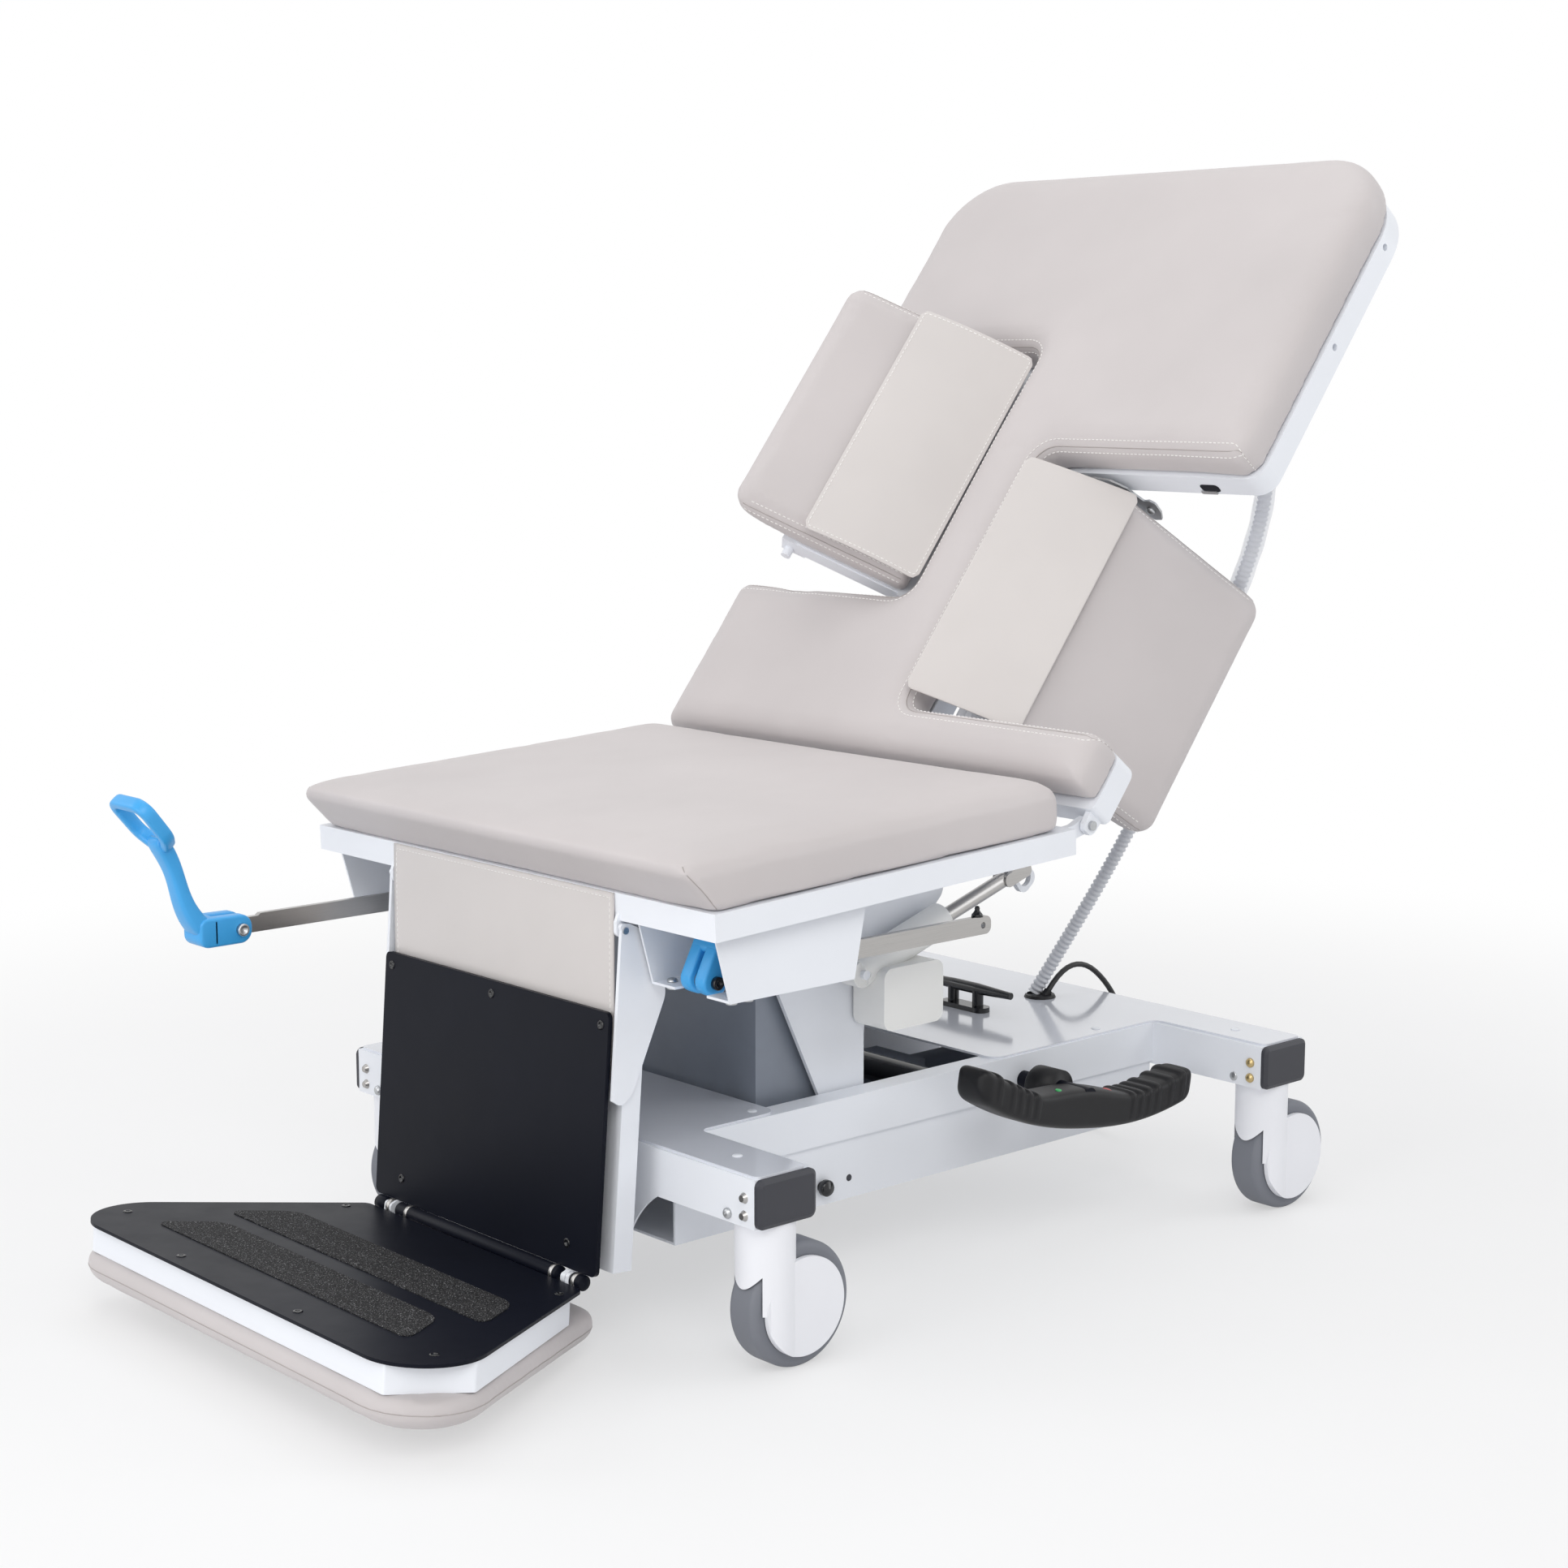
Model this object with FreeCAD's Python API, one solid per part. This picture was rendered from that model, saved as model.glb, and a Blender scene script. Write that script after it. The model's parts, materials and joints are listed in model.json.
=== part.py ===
import FreeCAD, Part
import math
import os
from FreeCAD import Placement, Rotation, Vector

# Fits and small values shared by all pieces
running_gap = 0.05
sheet = 3.0
air = 0.3
least_corner = 0.5
touching = 0.001

# Castors: wheel, housing column, swivel places
wheel_dia = 150.0
wheel_width = 46.0
wheel_trail = 36.7
hub_dia = 104.0
axle_dia = 12.0
column_dia = 71.0
cheek_dia = 118.0
cheek_width = 61.0
cheek_gap = 1.5
tyre_clear = 3.0
slot_top = 95.0
stem_dia = 20.0
stem_length = 38.0
castor_x = 452.0
castor_inset = 32.0

# Base: beams, rails, skirts, covers
beam_bottom = 183.0
beam_top = 241.0
beam_width = 88.0
beam_half_length = 402.0
castor_y = beam_half_length - castor_inset
beam_wall = 4.0
rail_outer = 213.0
rail_inner = 180.0
rail_bottom = 187.0
skirt_half = 208.0
skirt_bottom = 108.0
apron_bottom = 88.0
apron_low_half = 165.0
apron_top_half = 235.0
apron_sag = 14.0
cover_thick = 3.0
cover_half = 210.0
cover_inset = 4.0
front_cover_end = -290.0
rear_cover_start = 93.0
cap_proud = 8.6
bolt_inset = 18.0
bolt_y = beam_half_length - bolt_inset
bolt_heights = (196.0, 217.0)
cross_tube_x = 45.0
cross_tube_z = 205.0
cross_tube_dia = 38.0

# Castor pedal and its shaft
pedal_x = 145.0
pedal_z = 207.0
pedal_outer = 338.0
pedal_half = 208.0
pedal_width = 60.0
pedal_rock = 9.5
pedal_low = -44.0
pedal_end_low = 6.0
pedal_top = 8.0
pedal_end_top = 44.0
pedal_hub_dia = 50.0
pedal_hub_width = 46.0
pedal_shaft_dia = 24.0
pedal_rib_dia = 18.0
pedal_rib_pitch = 16.0
pedal_ribs = 3

# Lifting column and carriage
lift_x = -95.0
stage_half_x = 85.0
stage_half_y = 62.0
stage_wall = 5.0
stage_gap = 0.5
outer_stage = (112.0, 335.0)
mid_stage = (140.0, 400.0)
inner_stage = (170.0, 500.0)
carriage_plate = 6.0
side_plate_y = 170.0
shroud_x = -282.0
shroud_half = 160.0
shroud_bottom = 200.0

# Seat, in its own tilted frame with the origin at the frame's lower front edge
seat_front = -548.0
seat_bottom = 519.6
seat_tilt = 2.8
seat_length = 585.0
seat_half = 398.0
seat_tall = 32.0
cushion_over = 3.0
cushion_half = seat_half + cushion_over
cushion_gap = 11.0
cushion_rear = seat_length - cushion_gap

# Foot loop pockets, bars and loops
pocket_inset = 89.0
pocket_y = seat_half - pocket_inset
pocket_half = 69.0
pocket_floor = 444.7
pocket_front = -510.0
pocket_rear = -320.0
pocket_top_rear = -296.0
bar_bottom = 445.0
bar_tall = 23.0
bar_thick = 8.0
bar_length = 466.0
bar_pivot_z = 455.0
near_pivot_x = -491.0
far_pivot_x = -735.0
near_loop_fold = 117.0
loop_lean = 130.1
loop_bolt_dia = 8.0
loop_fork_half = 22.0
loop_ring_start = 125.0
loop_ring_end = 250.0
loop_ring_half = 45.0
loop_band = 9.0
loop_depth = 26.0

# Leg section, in its own frame with the origin on its pivot
leg_pivot_in = 3.0
leg_pivot_x = seat_front + leg_pivot_in
leg_pivot_z = 508.0
leg_lean = 4.46
leg_pin_dia = 8.0
leg_panel_front = -11.0
leg_panel_thick = 6.0
leg_panel_top = -96.0
leg_panel_bottom = -407.0
leg_box_front = 13.0
leg_box_deep = 27.0
leg_box_inset = 168.0
leg_box_half = seat_half - leg_box_inset
leg_panel_inset = 3.0
leg_panel_half = leg_box_half - leg_panel_inset
leg_arm_thick = 5.0
leg_arm_top = 8.0
flap_inset = 8.0
flap_half = leg_box_half - flap_inset
flap_thick = 2.5
flap_hem = 330.0

# Foot section, in the leg's frame
foot_hinge_x = -14.0
foot_hinge_z = -416.0
foot_pin_dia = 6.0
foot_lug_inset = 54.0
foot_lug_y = leg_box_half - foot_lug_inset
foot_reach = 353.0
foot_start = 11.0
foot_root_half = flap_half
foot_tip_half = 419.0
foot_tip_radius = 75.0
foot_plate_thick = 4.0
foot_frame_tall = 34.0
foot_frame_inset = 8.0
foot_frame_chamfer = (87.0, 95.0)
foot_pad_thick = 42.0
foot_pad_over = 6.0
foot_pad_behind = 34.0
foot_strips = ((112.0, 185.0), (214.0, 286.0))
foot_strip_halves = (228.0, 272.0)
foot_strip_thick = 1.2

# Back section, in its own frame with the origin on its pivot
back_pivot_x = 69.9
back_pivot_z = 579.9
back_angle = 52.0
back_pin_dia = 12.0
seat_ear_inset = 26.0
seat_ear_y = seat_half - seat_ear_inset
seat_ear_thick = 10.0
ear_gap = 2.0
back_ear_y = seat_ear_y + seat_ear_thick + ear_gap
back_ear_thick = 8.0
back_ear_inset = 8.0
back_half = back_ear_y + back_ear_thick + back_ear_inset
back_start = 13.0
back_end = 1015.0
back_deep = 18.0
back_corner = 105.0
neck_half = 52.0
near_cut = (98.0, 518.0)
far_cut = (270.0, 690.0)
back_pad_over = 2.0
back_levels = ((18.0, 3.0), (24.0, 0.0), (52.0, 0.0), (68.0, 9.0), (76.0, 22.0), (79.0, 34.0))
accessory_x = (744.0, 912.0)
accessory_z = 4.0
accessory_dia = 10.0
accessory_depth = 20.0

# Side pads, measured from their hinge axes
pad_axis_y = 97.0
pad_axis_z = 2.0
pad_rod_dia = 12.0
pad_length = 395.0
near_pad_drop = 72.4
far_pad_raise = 42.0
pad_inner = 17.0
pad_back = 27.0
pad_edge_gap = 5.0
pad_reach = back_half - pad_axis_y - pad_edge_gap
pad_foot = pad_reach - 98.0
pad_levels = ((pad_back, pad_foot, 4.0), (45.0, pad_reach - 14.0, 1.0), (58.0, pad_reach, 0.0),
              (70.0, pad_reach - 3.0, 5.0), (77.0, pad_reach - 30.0, 30.0))
latch_dia = 14.0
latch_proud = 9.0
pad_flap_length = 380.0
pad_flap_thick = 3.0
near_flap_inner = (52.0, 84.0)
near_flap_outer = (197.0, -1.4)
near_flap_bow = -3.0
far_flap_inner = (53.0, 69.0)
far_flap_outer = (176.0, 188.0)
far_flap_bow = 6.0

# Back actuator, along a line between its rear eye and the lever on the back frame
actuator_y = -200.0
actuator_eye_x = -150.0
actuator_eye_z = 394.0
actuator_tube_dia = 44.0
actuator_rod_dia = 20.0
actuator_bore_start = 12.0
actuator_bore_end = 158.0
rod_start = 123.5
lever_radius = 110.0
lever_rest_turn = 21.0
lever_thick = 8.0
lever_pin_dia = 12.0
lever_rim = 6.0
lever_slot_width = 22.0
lever_slot_reach = (106.0, 132.0)
fork_tall = 18.0
fork_slot = 27.0
fork_base = 10.0

# Hose from the rear cover to the back frame
hose_dia = 20.0
hose_groove_dia = 17.0
hose_bore_dia = 12.0
hose_rib_pitch = 7.5
hose_base = Vector(397.0, 2.0, 249.0)
hose_base_heading = Vector(0.33, -0.36, 0.87)
hose_joint = Vector(507.0, -128.0, 580.0)
hose_joint_heading = Vector(0.29, -0.23, 0.93)
hose_top_u = 675.0
hose_top_inset = 128.0
hose_top_v = hose_top_inset - back_half
hose_base_pull = 120.0
hose_joint_pull = 200.0
hose_top_pull = 190.0

# Grommet that the hose and the mains cord come out of
grommet_x = 399.0
grommet_y = -7.0
grommet_dia = 46.0
grommet_thick = 4.0
grommet_boss_dia = 12.0

# Mains cord, its route by hand, then its coil
cord_dia = 8.0
cord_rise = 4.6
cord_route = [
    (408.0, -15.0, 253.0), (431.0, -17.0, 281.0), (474.0, -24.0, 288.0), (511.0, -36.0, 254.0),
    (537.0, -45.0, 203.0), (549.0, -47.0, 145.0), (553.0, -40.0, 85.0), (564.0, -10.0, 33.0),
    (580.0, 44.0, 9.0), (596.0, 102.0, cord_rise), (604.0, 160.0, cord_rise),
]
coil_turns = 4
coil_outer = 62.0
coil_pitch = 8.8
coil_layer = 8.7
coil_tail = 40.0
plug_dia = 34.0
plug_length = 46.0


def block(x0, x1, y0, y1, z0, z1):
    return Part.makeBox(x1 - x0, y1 - y0, z1 - z0, Vector(x0, y0, z0))


def rod(start, end, dia):
    run = end - start
    return Part.makeCylinder(dia / 2, run.Length, start, run)


def rod_y(x, z, y0, y1, dia):
    return rod(Vector(x, y0, z), Vector(x, y1, z), dia)


def both_sides(shape):
    return [shape, shape.mirror(Vector(0, 0, 0), Vector(0, 1, 0))]


def joined(shapes):
    return shapes[0].fuse(shapes[1:]).removeSplitter()


def placed(shape, placement):
    shape = shape.copy()
    shape.Placement = placement.multiply(shape.Placement)
    return shape


# Outlines are drawn in one of these planes, at a height along the plane's normal
planes = {
    "xy": (lambda a, b, h: Vector(a, b, h), Vector(0, 0, 1)),
    "xz": (lambda a, b, h: Vector(a, h, b), Vector(0, 1, 0)),
    "yz": (lambda a, b, h: Vector(h, a, b), Vector(1, 0, 0)),
}


# Corner arcs of a polygon that runs counterclockwise, moved in by an inset
def corner_arcs(points, radii, inset):
    count = len(points)
    headings = []
    for i in range(count):
        dx = points[(i + 1) % count][0] - points[i][0]
        dy = points[(i + 1) % count][1] - points[i][1]
        length = math.hypot(dx, dy)
        headings.append((dx / length, dy / length))
    arcs = []
    for i in range(count):
        before = headings[i - 1]
        after = headings[i]
        across = before[0] * after[1] - before[1] * after[0]
        along = before[0] * after[0] + before[1] * after[1]
        turn = math.atan2(across, along)
        normal = (-before[1] - after[1], before[0] + after[0])
        corner = (points[i][0] + normal[0] * inset / (1 + along),
                  points[i][1] + normal[1] * inset / (1 + along))
        radius = radii[i]
        if radius > 0:
            radius = max(radius - math.copysign(inset, turn), least_corner)
        cut = radius * math.tan(abs(turn) / 2)
        start = (corner[0] - before[0] * cut, corner[1] - before[1] * cut)
        end = (corner[0] + after[0] * cut, corner[1] + after[1] * cut)
        reach = math.copysign(radius / math.cos(turn / 2) - radius, turn) / math.hypot(*normal)
        middle = (corner[0] + normal[0] * reach, corner[1] + normal[1] * reach)
        arcs.append((start, middle, end, radius))
    return arcs


def outline(plane, points, radii, height, inset=0.0):
    place = planes[plane][0]
    arcs = corner_arcs(points, radii, inset)
    edges = []
    for i, (start, middle, end, radius) in enumerate(arcs):
        if radius > 0:
            spots = [place(*spot, height) for spot in (start, middle, end)]
            edges.append(Part.Arc(*spots).toShape())
        following = arcs[(i + 1) % len(arcs)][0]
        edges.append(Part.LineSegment(place(*end, height), place(*following, height)).toShape())
    return Part.Wire(edges)


def plate(plane, points, radii, low, high, inset=0.0):
    face = Part.Face(outline(plane, points, radii, low, inset))
    return face.extrude(planes[plane][1] * (high - low))


def round_plate(plane, points, radius, low, high):
    return plate(plane, points, [radius] * len(points), low, high)


def box_points(a0, a1, b0, b1):
    return [(a0, b0), (a1, b0), (a1, b1), (a0, b1)]


def save(name, shape):
    if not shape.isValid():
        print("not valid:", name)
    print(name, "volume", round(shape.Volume / 1000, 1), "cm3")
    shape.exportStep("parts/" + name + ".step")


# Frames that the sections are drawn in
side_axis = Vector(0, 1, 0)
seat_place = Placement(Vector(seat_front, 0, seat_bottom), Rotation(side_axis, -seat_tilt))
leg_place = Placement(Vector(leg_pivot_x, 0, leg_pivot_z), Rotation(side_axis, leg_lean))
back_place = Placement(Vector(back_pivot_x, 0, back_pivot_z), Rotation(side_axis, -back_angle))


# Height of the seat frame's inside at a place along the table, where supports meet it
def seat_inside(x):
    slope = math.tan(math.radians(seat_tilt))
    lift = (seat_tall - sheet) / math.cos(math.radians(seat_tilt))
    return seat_bottom + (x - seat_front) * slope + lift


# Base chassis: two hollow beams with castor sockets, rails, skirts, apron, pan, pedal bore
def base_chassis():
    half = beam_width / 2
    pieces = []
    bores = []
    for x in (-castor_x, castor_x):
        beam = block(x - half, x + half, -beam_half_length, beam_half_length, beam_bottom, beam_top)
        hollow = block(x - half + beam_wall, x + half - beam_wall, -beam_half_length, beam_half_length,
                       beam_bottom + beam_wall, beam_top - beam_wall)
        pieces.append(beam.cut(hollow))
        for y in (-castor_y, castor_y):
            foot = Vector(x, y, beam_bottom)
            top = foot + Vector(0, 0, stem_length + 2 * sheet)
            pieces.append(rod(foot, top, stem_dia + 4 * beam_wall))
            bores.append(rod(foot, top - Vector(0, 0, sheet), stem_dia + 2 * running_gap))
    inner = castor_x - half
    rail = block(-inner, inner, rail_inner, rail_outer, rail_bottom, beam_top)
    rail = rail.cut(block(-inner, inner, rail_inner + beam_wall, rail_outer - beam_wall,
                          rail_bottom + beam_wall, beam_top - beam_wall))
    skirt = block(-castor_x, inner, skirt_half - sheet, skirt_half, skirt_bottom, rail_bottom)
    skirt = skirt.cut(block(-castor_x, -inner, 0, rail_outer, beam_bottom, beam_top))
    pieces += both_sides(rail) + both_sides(skirt)
    pieces.append(block(-castor_x, inner, -skirt_half, skirt_half, skirt_bottom, skirt_bottom + sheet))
    pieces.append(apron())
    bores.append(rod_y(pedal_x, pedal_z, -rail_outer, -rail_inner, pedal_shaft_dia + 2 * running_gap))
    chassis = joined(pieces)
    for bore in bores:
        chassis = chassis.cut(bore)
    return chassis


# Apron: a sheet on the front beam's lower half, its sides sweeping up in two hollow curves
def apron():
    front = -castor_x - beam_width / 2
    place = planes["yz"][0]
    high = beam_bottom + beam_wall
    rise = Vector(apron_top_half - apron_low_half, high - apron_bottom, 0)
    middle_y = (apron_low_half + apron_top_half) / 2 - apron_sag * rise.y / rise.Length
    middle_z = (apron_bottom + high) / 2 + apron_sag * rise.x / rise.Length
    low = [place(side * apron_low_half, apron_bottom, front) for side in (-1, 1)]
    top = [place(side * apron_top_half, high, front) for side in (-1, 1)]
    middle = [place(side * middle_y, middle_z, front) for side in (-1, 1)]
    edges = [
        Part.LineSegment(low[0], low[1]).toShape(),
        Part.Arc(low[1], middle[1], top[1]).toShape(),
        Part.LineSegment(top[1], top[0]).toShape(),
        Part.Arc(top[0], middle[0], low[0]).toShape(),
    ]
    return Part.Face(Part.Wire(edges)).extrude(Vector(sheet, 0, 0))


def t_cover(arm_near, arm_far, foot):
    points = [(arm_far, -beam_half_length), (arm_near, -beam_half_length), (arm_near, -cover_half),
              (foot, -cover_half), (foot, cover_half), (arm_near, cover_half),
              (arm_near, beam_half_length), (arm_far, beam_half_length)]
    radii = [8.0, 8.0, 14.0, 20.0, 20.0, 14.0, 8.0, 8.0]
    if foot < arm_near:
        points.reverse()
        radii.reverse()
    return plate("xy", points, radii, beam_top, beam_top + cover_thick)


def front_cover():
    edge = castor_x + beam_width / 2 - cover_inset
    return t_cover(-castor_x + beam_width / 2 - 2 * cover_inset, -edge, front_cover_end)


def rear_cover():
    edge = castor_x + beam_width / 2 - cover_inset
    return t_cover(castor_x - beam_width / 2 + 2 * cover_inset, edge, rear_cover_start)


# Four caps close the beam ends, each drawn in at its outer face
def bumper_caps():
    half = beam_width / 2 + 0.5
    caps = []
    for x in (-castor_x, castor_x):
        points = box_points(x - half, x + half, beam_bottom, beam_top)
        radii = [9.0] * 4
        steps = ((0.0, 0.0), (0.6, 0.0), (1.0, 5.0))
        wires = [outline("xz", points, radii, beam_half_length + cap_proud * s, i) for s, i in steps]
        caps += both_sides(Part.makeLoft(wires, True, True))
    return Part.makeCompound(caps)


def base_bolts():
    front = castor_x + beam_width / 2
    bolts = []
    for side in (-1, 1):
        for y in (-bolt_y, bolt_y):
            for z in bolt_heights:
                bolts.append(Part.makeCone(6.5, 4.0, 4.5, Vector(side * front, y, z), Vector(side, 0, 0)))
    return Part.makeCompound(bolts)


# Cleat: a foot, two posts and a bar whose horns taper
def cord_cleat():
    x = 268.0
    middle = 15.0
    top = beam_top + cover_thick
    bar_z = top + 32.0
    half_foot = 42.0
    half_bar = 88.0
    pieces = [round_plate("xy", box_points(x - 13, x + 13, middle - half_foot, middle + half_foot), 12.0,
                          top, top + 7)]
    for side in (-1, 1):
        post = Vector(x, middle + side * 24, top + 4)
        pieces.append(rod(post, Vector(x, middle + side * 24, bar_z), 16.0))
        pieces.append(Part.makeCone(8.0, 5.0, half_bar - 24, Vector(x, middle + side * 24, bar_z),
                                    Vector(0, side, 0)))
    pieces.append(rod_y(x, bar_z, middle - 24, middle + 24, 16.0))
    return joined(pieces)


# Grommet: a flat ring with the hose's hole and a slanted boss in line with the cord's first run
def hose_grommet():
    ground = beam_top + cover_thick
    up = Vector(0, 0, grommet_thick)
    low = Vector(grommet_x, grommet_y, ground)
    ring = Part.makeCone(grommet_dia / 2, grommet_dia / 2 - 2, grommet_thick, low, up)
    start = Vector(*cord_route[0])
    heading = (Vector(*cord_route[1]) - start).normalize()
    boss = rod(start - heading * 2 * grommet_boss_dia, start, grommet_boss_dia)
    below = rod(low - up * 10, low, 2 * grommet_dia)
    run = Vector(hose_base_heading).normalize()
    hole = rod(hose_base - run * hose_dia, hose_base + run * hose_dia, hose_dia + 2 * air)
    return joined([ring, boss]).cut(below).cut(hole)


def cross_tube():
    tube = rod_y(cross_tube_x, cross_tube_z, -rail_inner, rail_inner, cross_tube_dia)
    return tube.cut(rod_y(cross_tube_x, cross_tube_z, -rail_inner, rail_inner, cross_tube_dia - 2 * sheet))


def lift_motor():
    floor = skirt_bottom + sheet
    gearbox = block(72, 125, -48, 48, floor, floor + 96)
    motor = rod(Vector(125, 0, floor + 48), Vector(280, 0, floor + 48), 78.0)
    link = block(lift_x + stage_half_x, 72, -25, 25, floor, floor + 40)
    return joined([gearbox, motor, link])


# A square tube stage of the column, one step in from the stage around it
def column_stage(step, heights):
    shrink = step * (stage_wall + stage_gap)
    hx = stage_half_x - shrink
    hy = stage_half_y - shrink
    outer = block(lift_x - hx, lift_x + hx, -hy, hy, *heights)
    hx -= stage_wall
    hy -= stage_wall
    return outer.cut(block(lift_x - hx, lift_x + hx, -hy, hy, *heights))


# Pedal: a bow with raised ends and ribs, rocked down at the head end
def lock_pedal():
    low = -pedal_outer
    high = low + pedal_width
    step_out = pedal_half - pedal_rib_pitch * pedal_ribs + 5
    step_in = step_out - 17
    slope_in = step_in - pedal_rib_pitch * pedal_ribs - 5
    slope_top = pedal_top + 12
    right = [(55.0, pedal_low), (150.0, (pedal_low + pedal_end_low) / 2), (pedal_half, pedal_end_low),
             (pedal_half, pedal_end_top), (step_out, pedal_end_top), (step_in, slope_top),
             (slope_in, pedal_top)]
    radii = [120.0, 120.0, 8.0, 14.0, 14.0, 14.0, 60.0]
    points = right + [(-x, z) for x, z in reversed(right)]
    pieces = [plate("xz", points, radii + radii[::-1], low, high)]
    middle = (low + high) / 2
    pieces.append(rod_y(0, 0, middle - pedal_hub_width / 2, middle + pedal_hub_width / 2, pedal_hub_dia))
    for side in (-1, 1):
        for i in range(pedal_ribs):
            out = pedal_rib_pitch * (i + 0.5)
            share = (step_in - out - slope_in) / (step_in - slope_in)
            slope = pedal_top + (slope_top - pedal_top) * share - pedal_rib_dia / 6
            end = pedal_end_top - pedal_rib_dia / 6
            pieces.append(rod_y(side * (pedal_half - out), end, low, high, pedal_rib_dia))
            pieces.append(rod_y(side * (step_in - out), slope, low, high, pedal_rib_dia))
    bore = rod_y(0, 0, low + 2 * sheet, high + pedal_width, pedal_shaft_dia + 2 * running_gap)
    place = Placement(Vector(pedal_x, 0, pedal_z), Rotation(side_axis, pedal_rock))
    return placed(joined(pieces).cut(bore), place)


# Shaft: turns with the pedal in the near rail, where the castors' lock takes it up
def pedal_shaft():
    return rod_y(pedal_x, pedal_z, -pedal_outer + 2 * sheet + air, -rail_inner + sheet, pedal_shaft_dia)


# Castor housing: a column that splits into two round cheeks beside the wheel
def castor_housing():
    centre_z = wheel_dia / 2
    half = cheek_width / 2
    slot_half = wheel_width / 2 + cheek_gap
    cheeks = rod_y(wheel_trail, centre_z, -half, half, cheek_dia)
    column = rod(Vector(0, 0, centre_z), Vector(0, 0, beam_bottom - air), column_dia)
    lower = rod(Vector(0, 0, 0), Vector(0, 0, centre_z), column_dia)
    lower = lower.common(rod_y(wheel_trail, centre_z, -column_dia, column_dia, cheek_dia))
    stem = rod(Vector(0, 0, beam_bottom - sheet), Vector(0, 0, beam_bottom + stem_length), stem_dia)
    body = joined([cheeks, column, lower, stem])
    body = body.cut(rod_y(wheel_trail, centre_z, -slot_half, slot_half, wheel_dia + 2 * tyre_clear))
    body = body.cut(block(-column_dia, 0, -slot_half, slot_half, 0, slot_top))
    return body.fuse(rod_y(wheel_trail, centre_z, -half + 2, half - 2, axle_dia)).removeSplitter()


def castor_tyre():
    centre_z = wheel_dia / 2
    half = wheel_width / 2
    tyre = rod_y(wheel_trail, centre_z, -half, half, wheel_dia)
    rims = [edge for edge in tyre.Edges if abs(edge.Length - math.pi * wheel_dia) < 0.1]
    tyre = tyre.makeFillet(9.0, rims)
    return tyre.cut(rod_y(wheel_trail, centre_z, -half, half, hub_dia))


def castor_hub():
    centre_z = wheel_dia / 2
    half = wheel_width / 2 - 1
    hub = rod_y(wheel_trail, centre_z, -half, half, hub_dia)
    return hub.cut(rod_y(wheel_trail, centre_z, -half, half, axle_dia + 2 * running_gap))


# Carriage: inner stage, top plate, leaning side plates and the shroud around the column
def lift_carriage():
    high = inner_stage[1]
    front = -330.0
    rear = 28.0
    pieces = [column_stage(2, inner_stage)]
    pieces.append(block(-285, rear, -side_plate_y, side_plate_y, high, high + carriage_plate))
    leaning = [(-170.0, 196.0), (-113.0, 196.0), (-113.0, 330.0), (rear, 470.0), (rear, seat_inside(rear)),
               (front, seat_inside(front)), (front, 515.0), (-259.0, 381.0)]
    radii = [6.0, 6.0, 60.0, 20.0, 0.0, 0.0, 10.0, 0.0]
    pieces += both_sides(plate("xz", leaning, radii, side_plate_y, side_plate_y + carriage_plate))
    pieces.append(block(shroud_x, shroud_x + sheet, -shroud_half, shroud_half, shroud_bottom, high))
    pieces += both_sides(block(shroud_x, -150, shroud_half - sheet, shroud_half, shroud_bottom, high))
    plate_face = -side_plate_y - carriage_plate
    pieces.append(rod_y(actuator_eye_x, actuator_eye_z, plate_face + sheet, actuator_y - 20, lever_pin_dia))
    return joined(pieces)


# Seat frame: a sheet tray, open below, with ears for the leg and back pivots
def seat_frame():
    tray = block(0, seat_length, -seat_half, seat_half, 0, seat_tall)
    tray = tray.cut(block(sheet, seat_length - sheet, -seat_half + sheet, seat_half - sheet,
                          0, seat_tall - sheet))
    pieces = [placed(tray, seat_place)]
    ear_low = flap_half + 2
    ear_high = leg_box_half - 1
    front = leg_pivot_x + 5
    leg_ear = [(leg_pivot_x - 8, leg_pivot_z - 8), (leg_pivot_x + 8, leg_pivot_z - 8),
               (front + 40, seat_bottom), (front + 40, seat_inside(front + 40)),
               (front, seat_inside(front)), (leg_pivot_x - 8, seat_bottom - 2)]
    pieces += both_sides(plate("xz", leg_ear, [7.0, 7.0, 4.0, 0.0, 0.0, 0.0], ear_low, ear_high))
    rear = seat_front + seat_length - 40
    back_ear = [(rear, 550.0), (back_pivot_x + 2, back_pivot_z - 11), (back_pivot_x + 11, back_pivot_z - 3),
                (back_pivot_x + 2, back_pivot_z + 11), (back_pivot_x - 22, back_pivot_z + 1),
                (rear, seat_inside(rear))]
    pieces += both_sides(plate("xz", back_ear, [0.0, 4.0, 4.0, 4.0, 8.0, 0.0], seat_ear_y,
                               seat_ear_y + seat_ear_thick))
    frame = joined(pieces)
    for y in (-1, 1):
        frame = frame.cut(rod_y(leg_pivot_x, leg_pivot_z, y * ear_low, y * ear_high, leg_pin_dia))
        ear_end = y * (seat_ear_y + seat_ear_thick)
        frame = frame.cut(rod_y(back_pivot_x, back_pivot_z, y * seat_ear_y, ear_end, back_pin_dia))
    return frame


def pivot_pins():
    leg_end = leg_box_half + leg_arm_thick + 2
    back_end_y = back_ear_y + back_ear_thick + 4
    pins = both_sides(rod_y(leg_pivot_x, leg_pivot_z, flap_half + 2, leg_end, leg_pin_dia))
    pins += both_sides(rod_y(back_pivot_x, back_pivot_z, seat_ear_y, back_end_y, back_pin_dia))
    return Part.makeCompound(pins)


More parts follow.
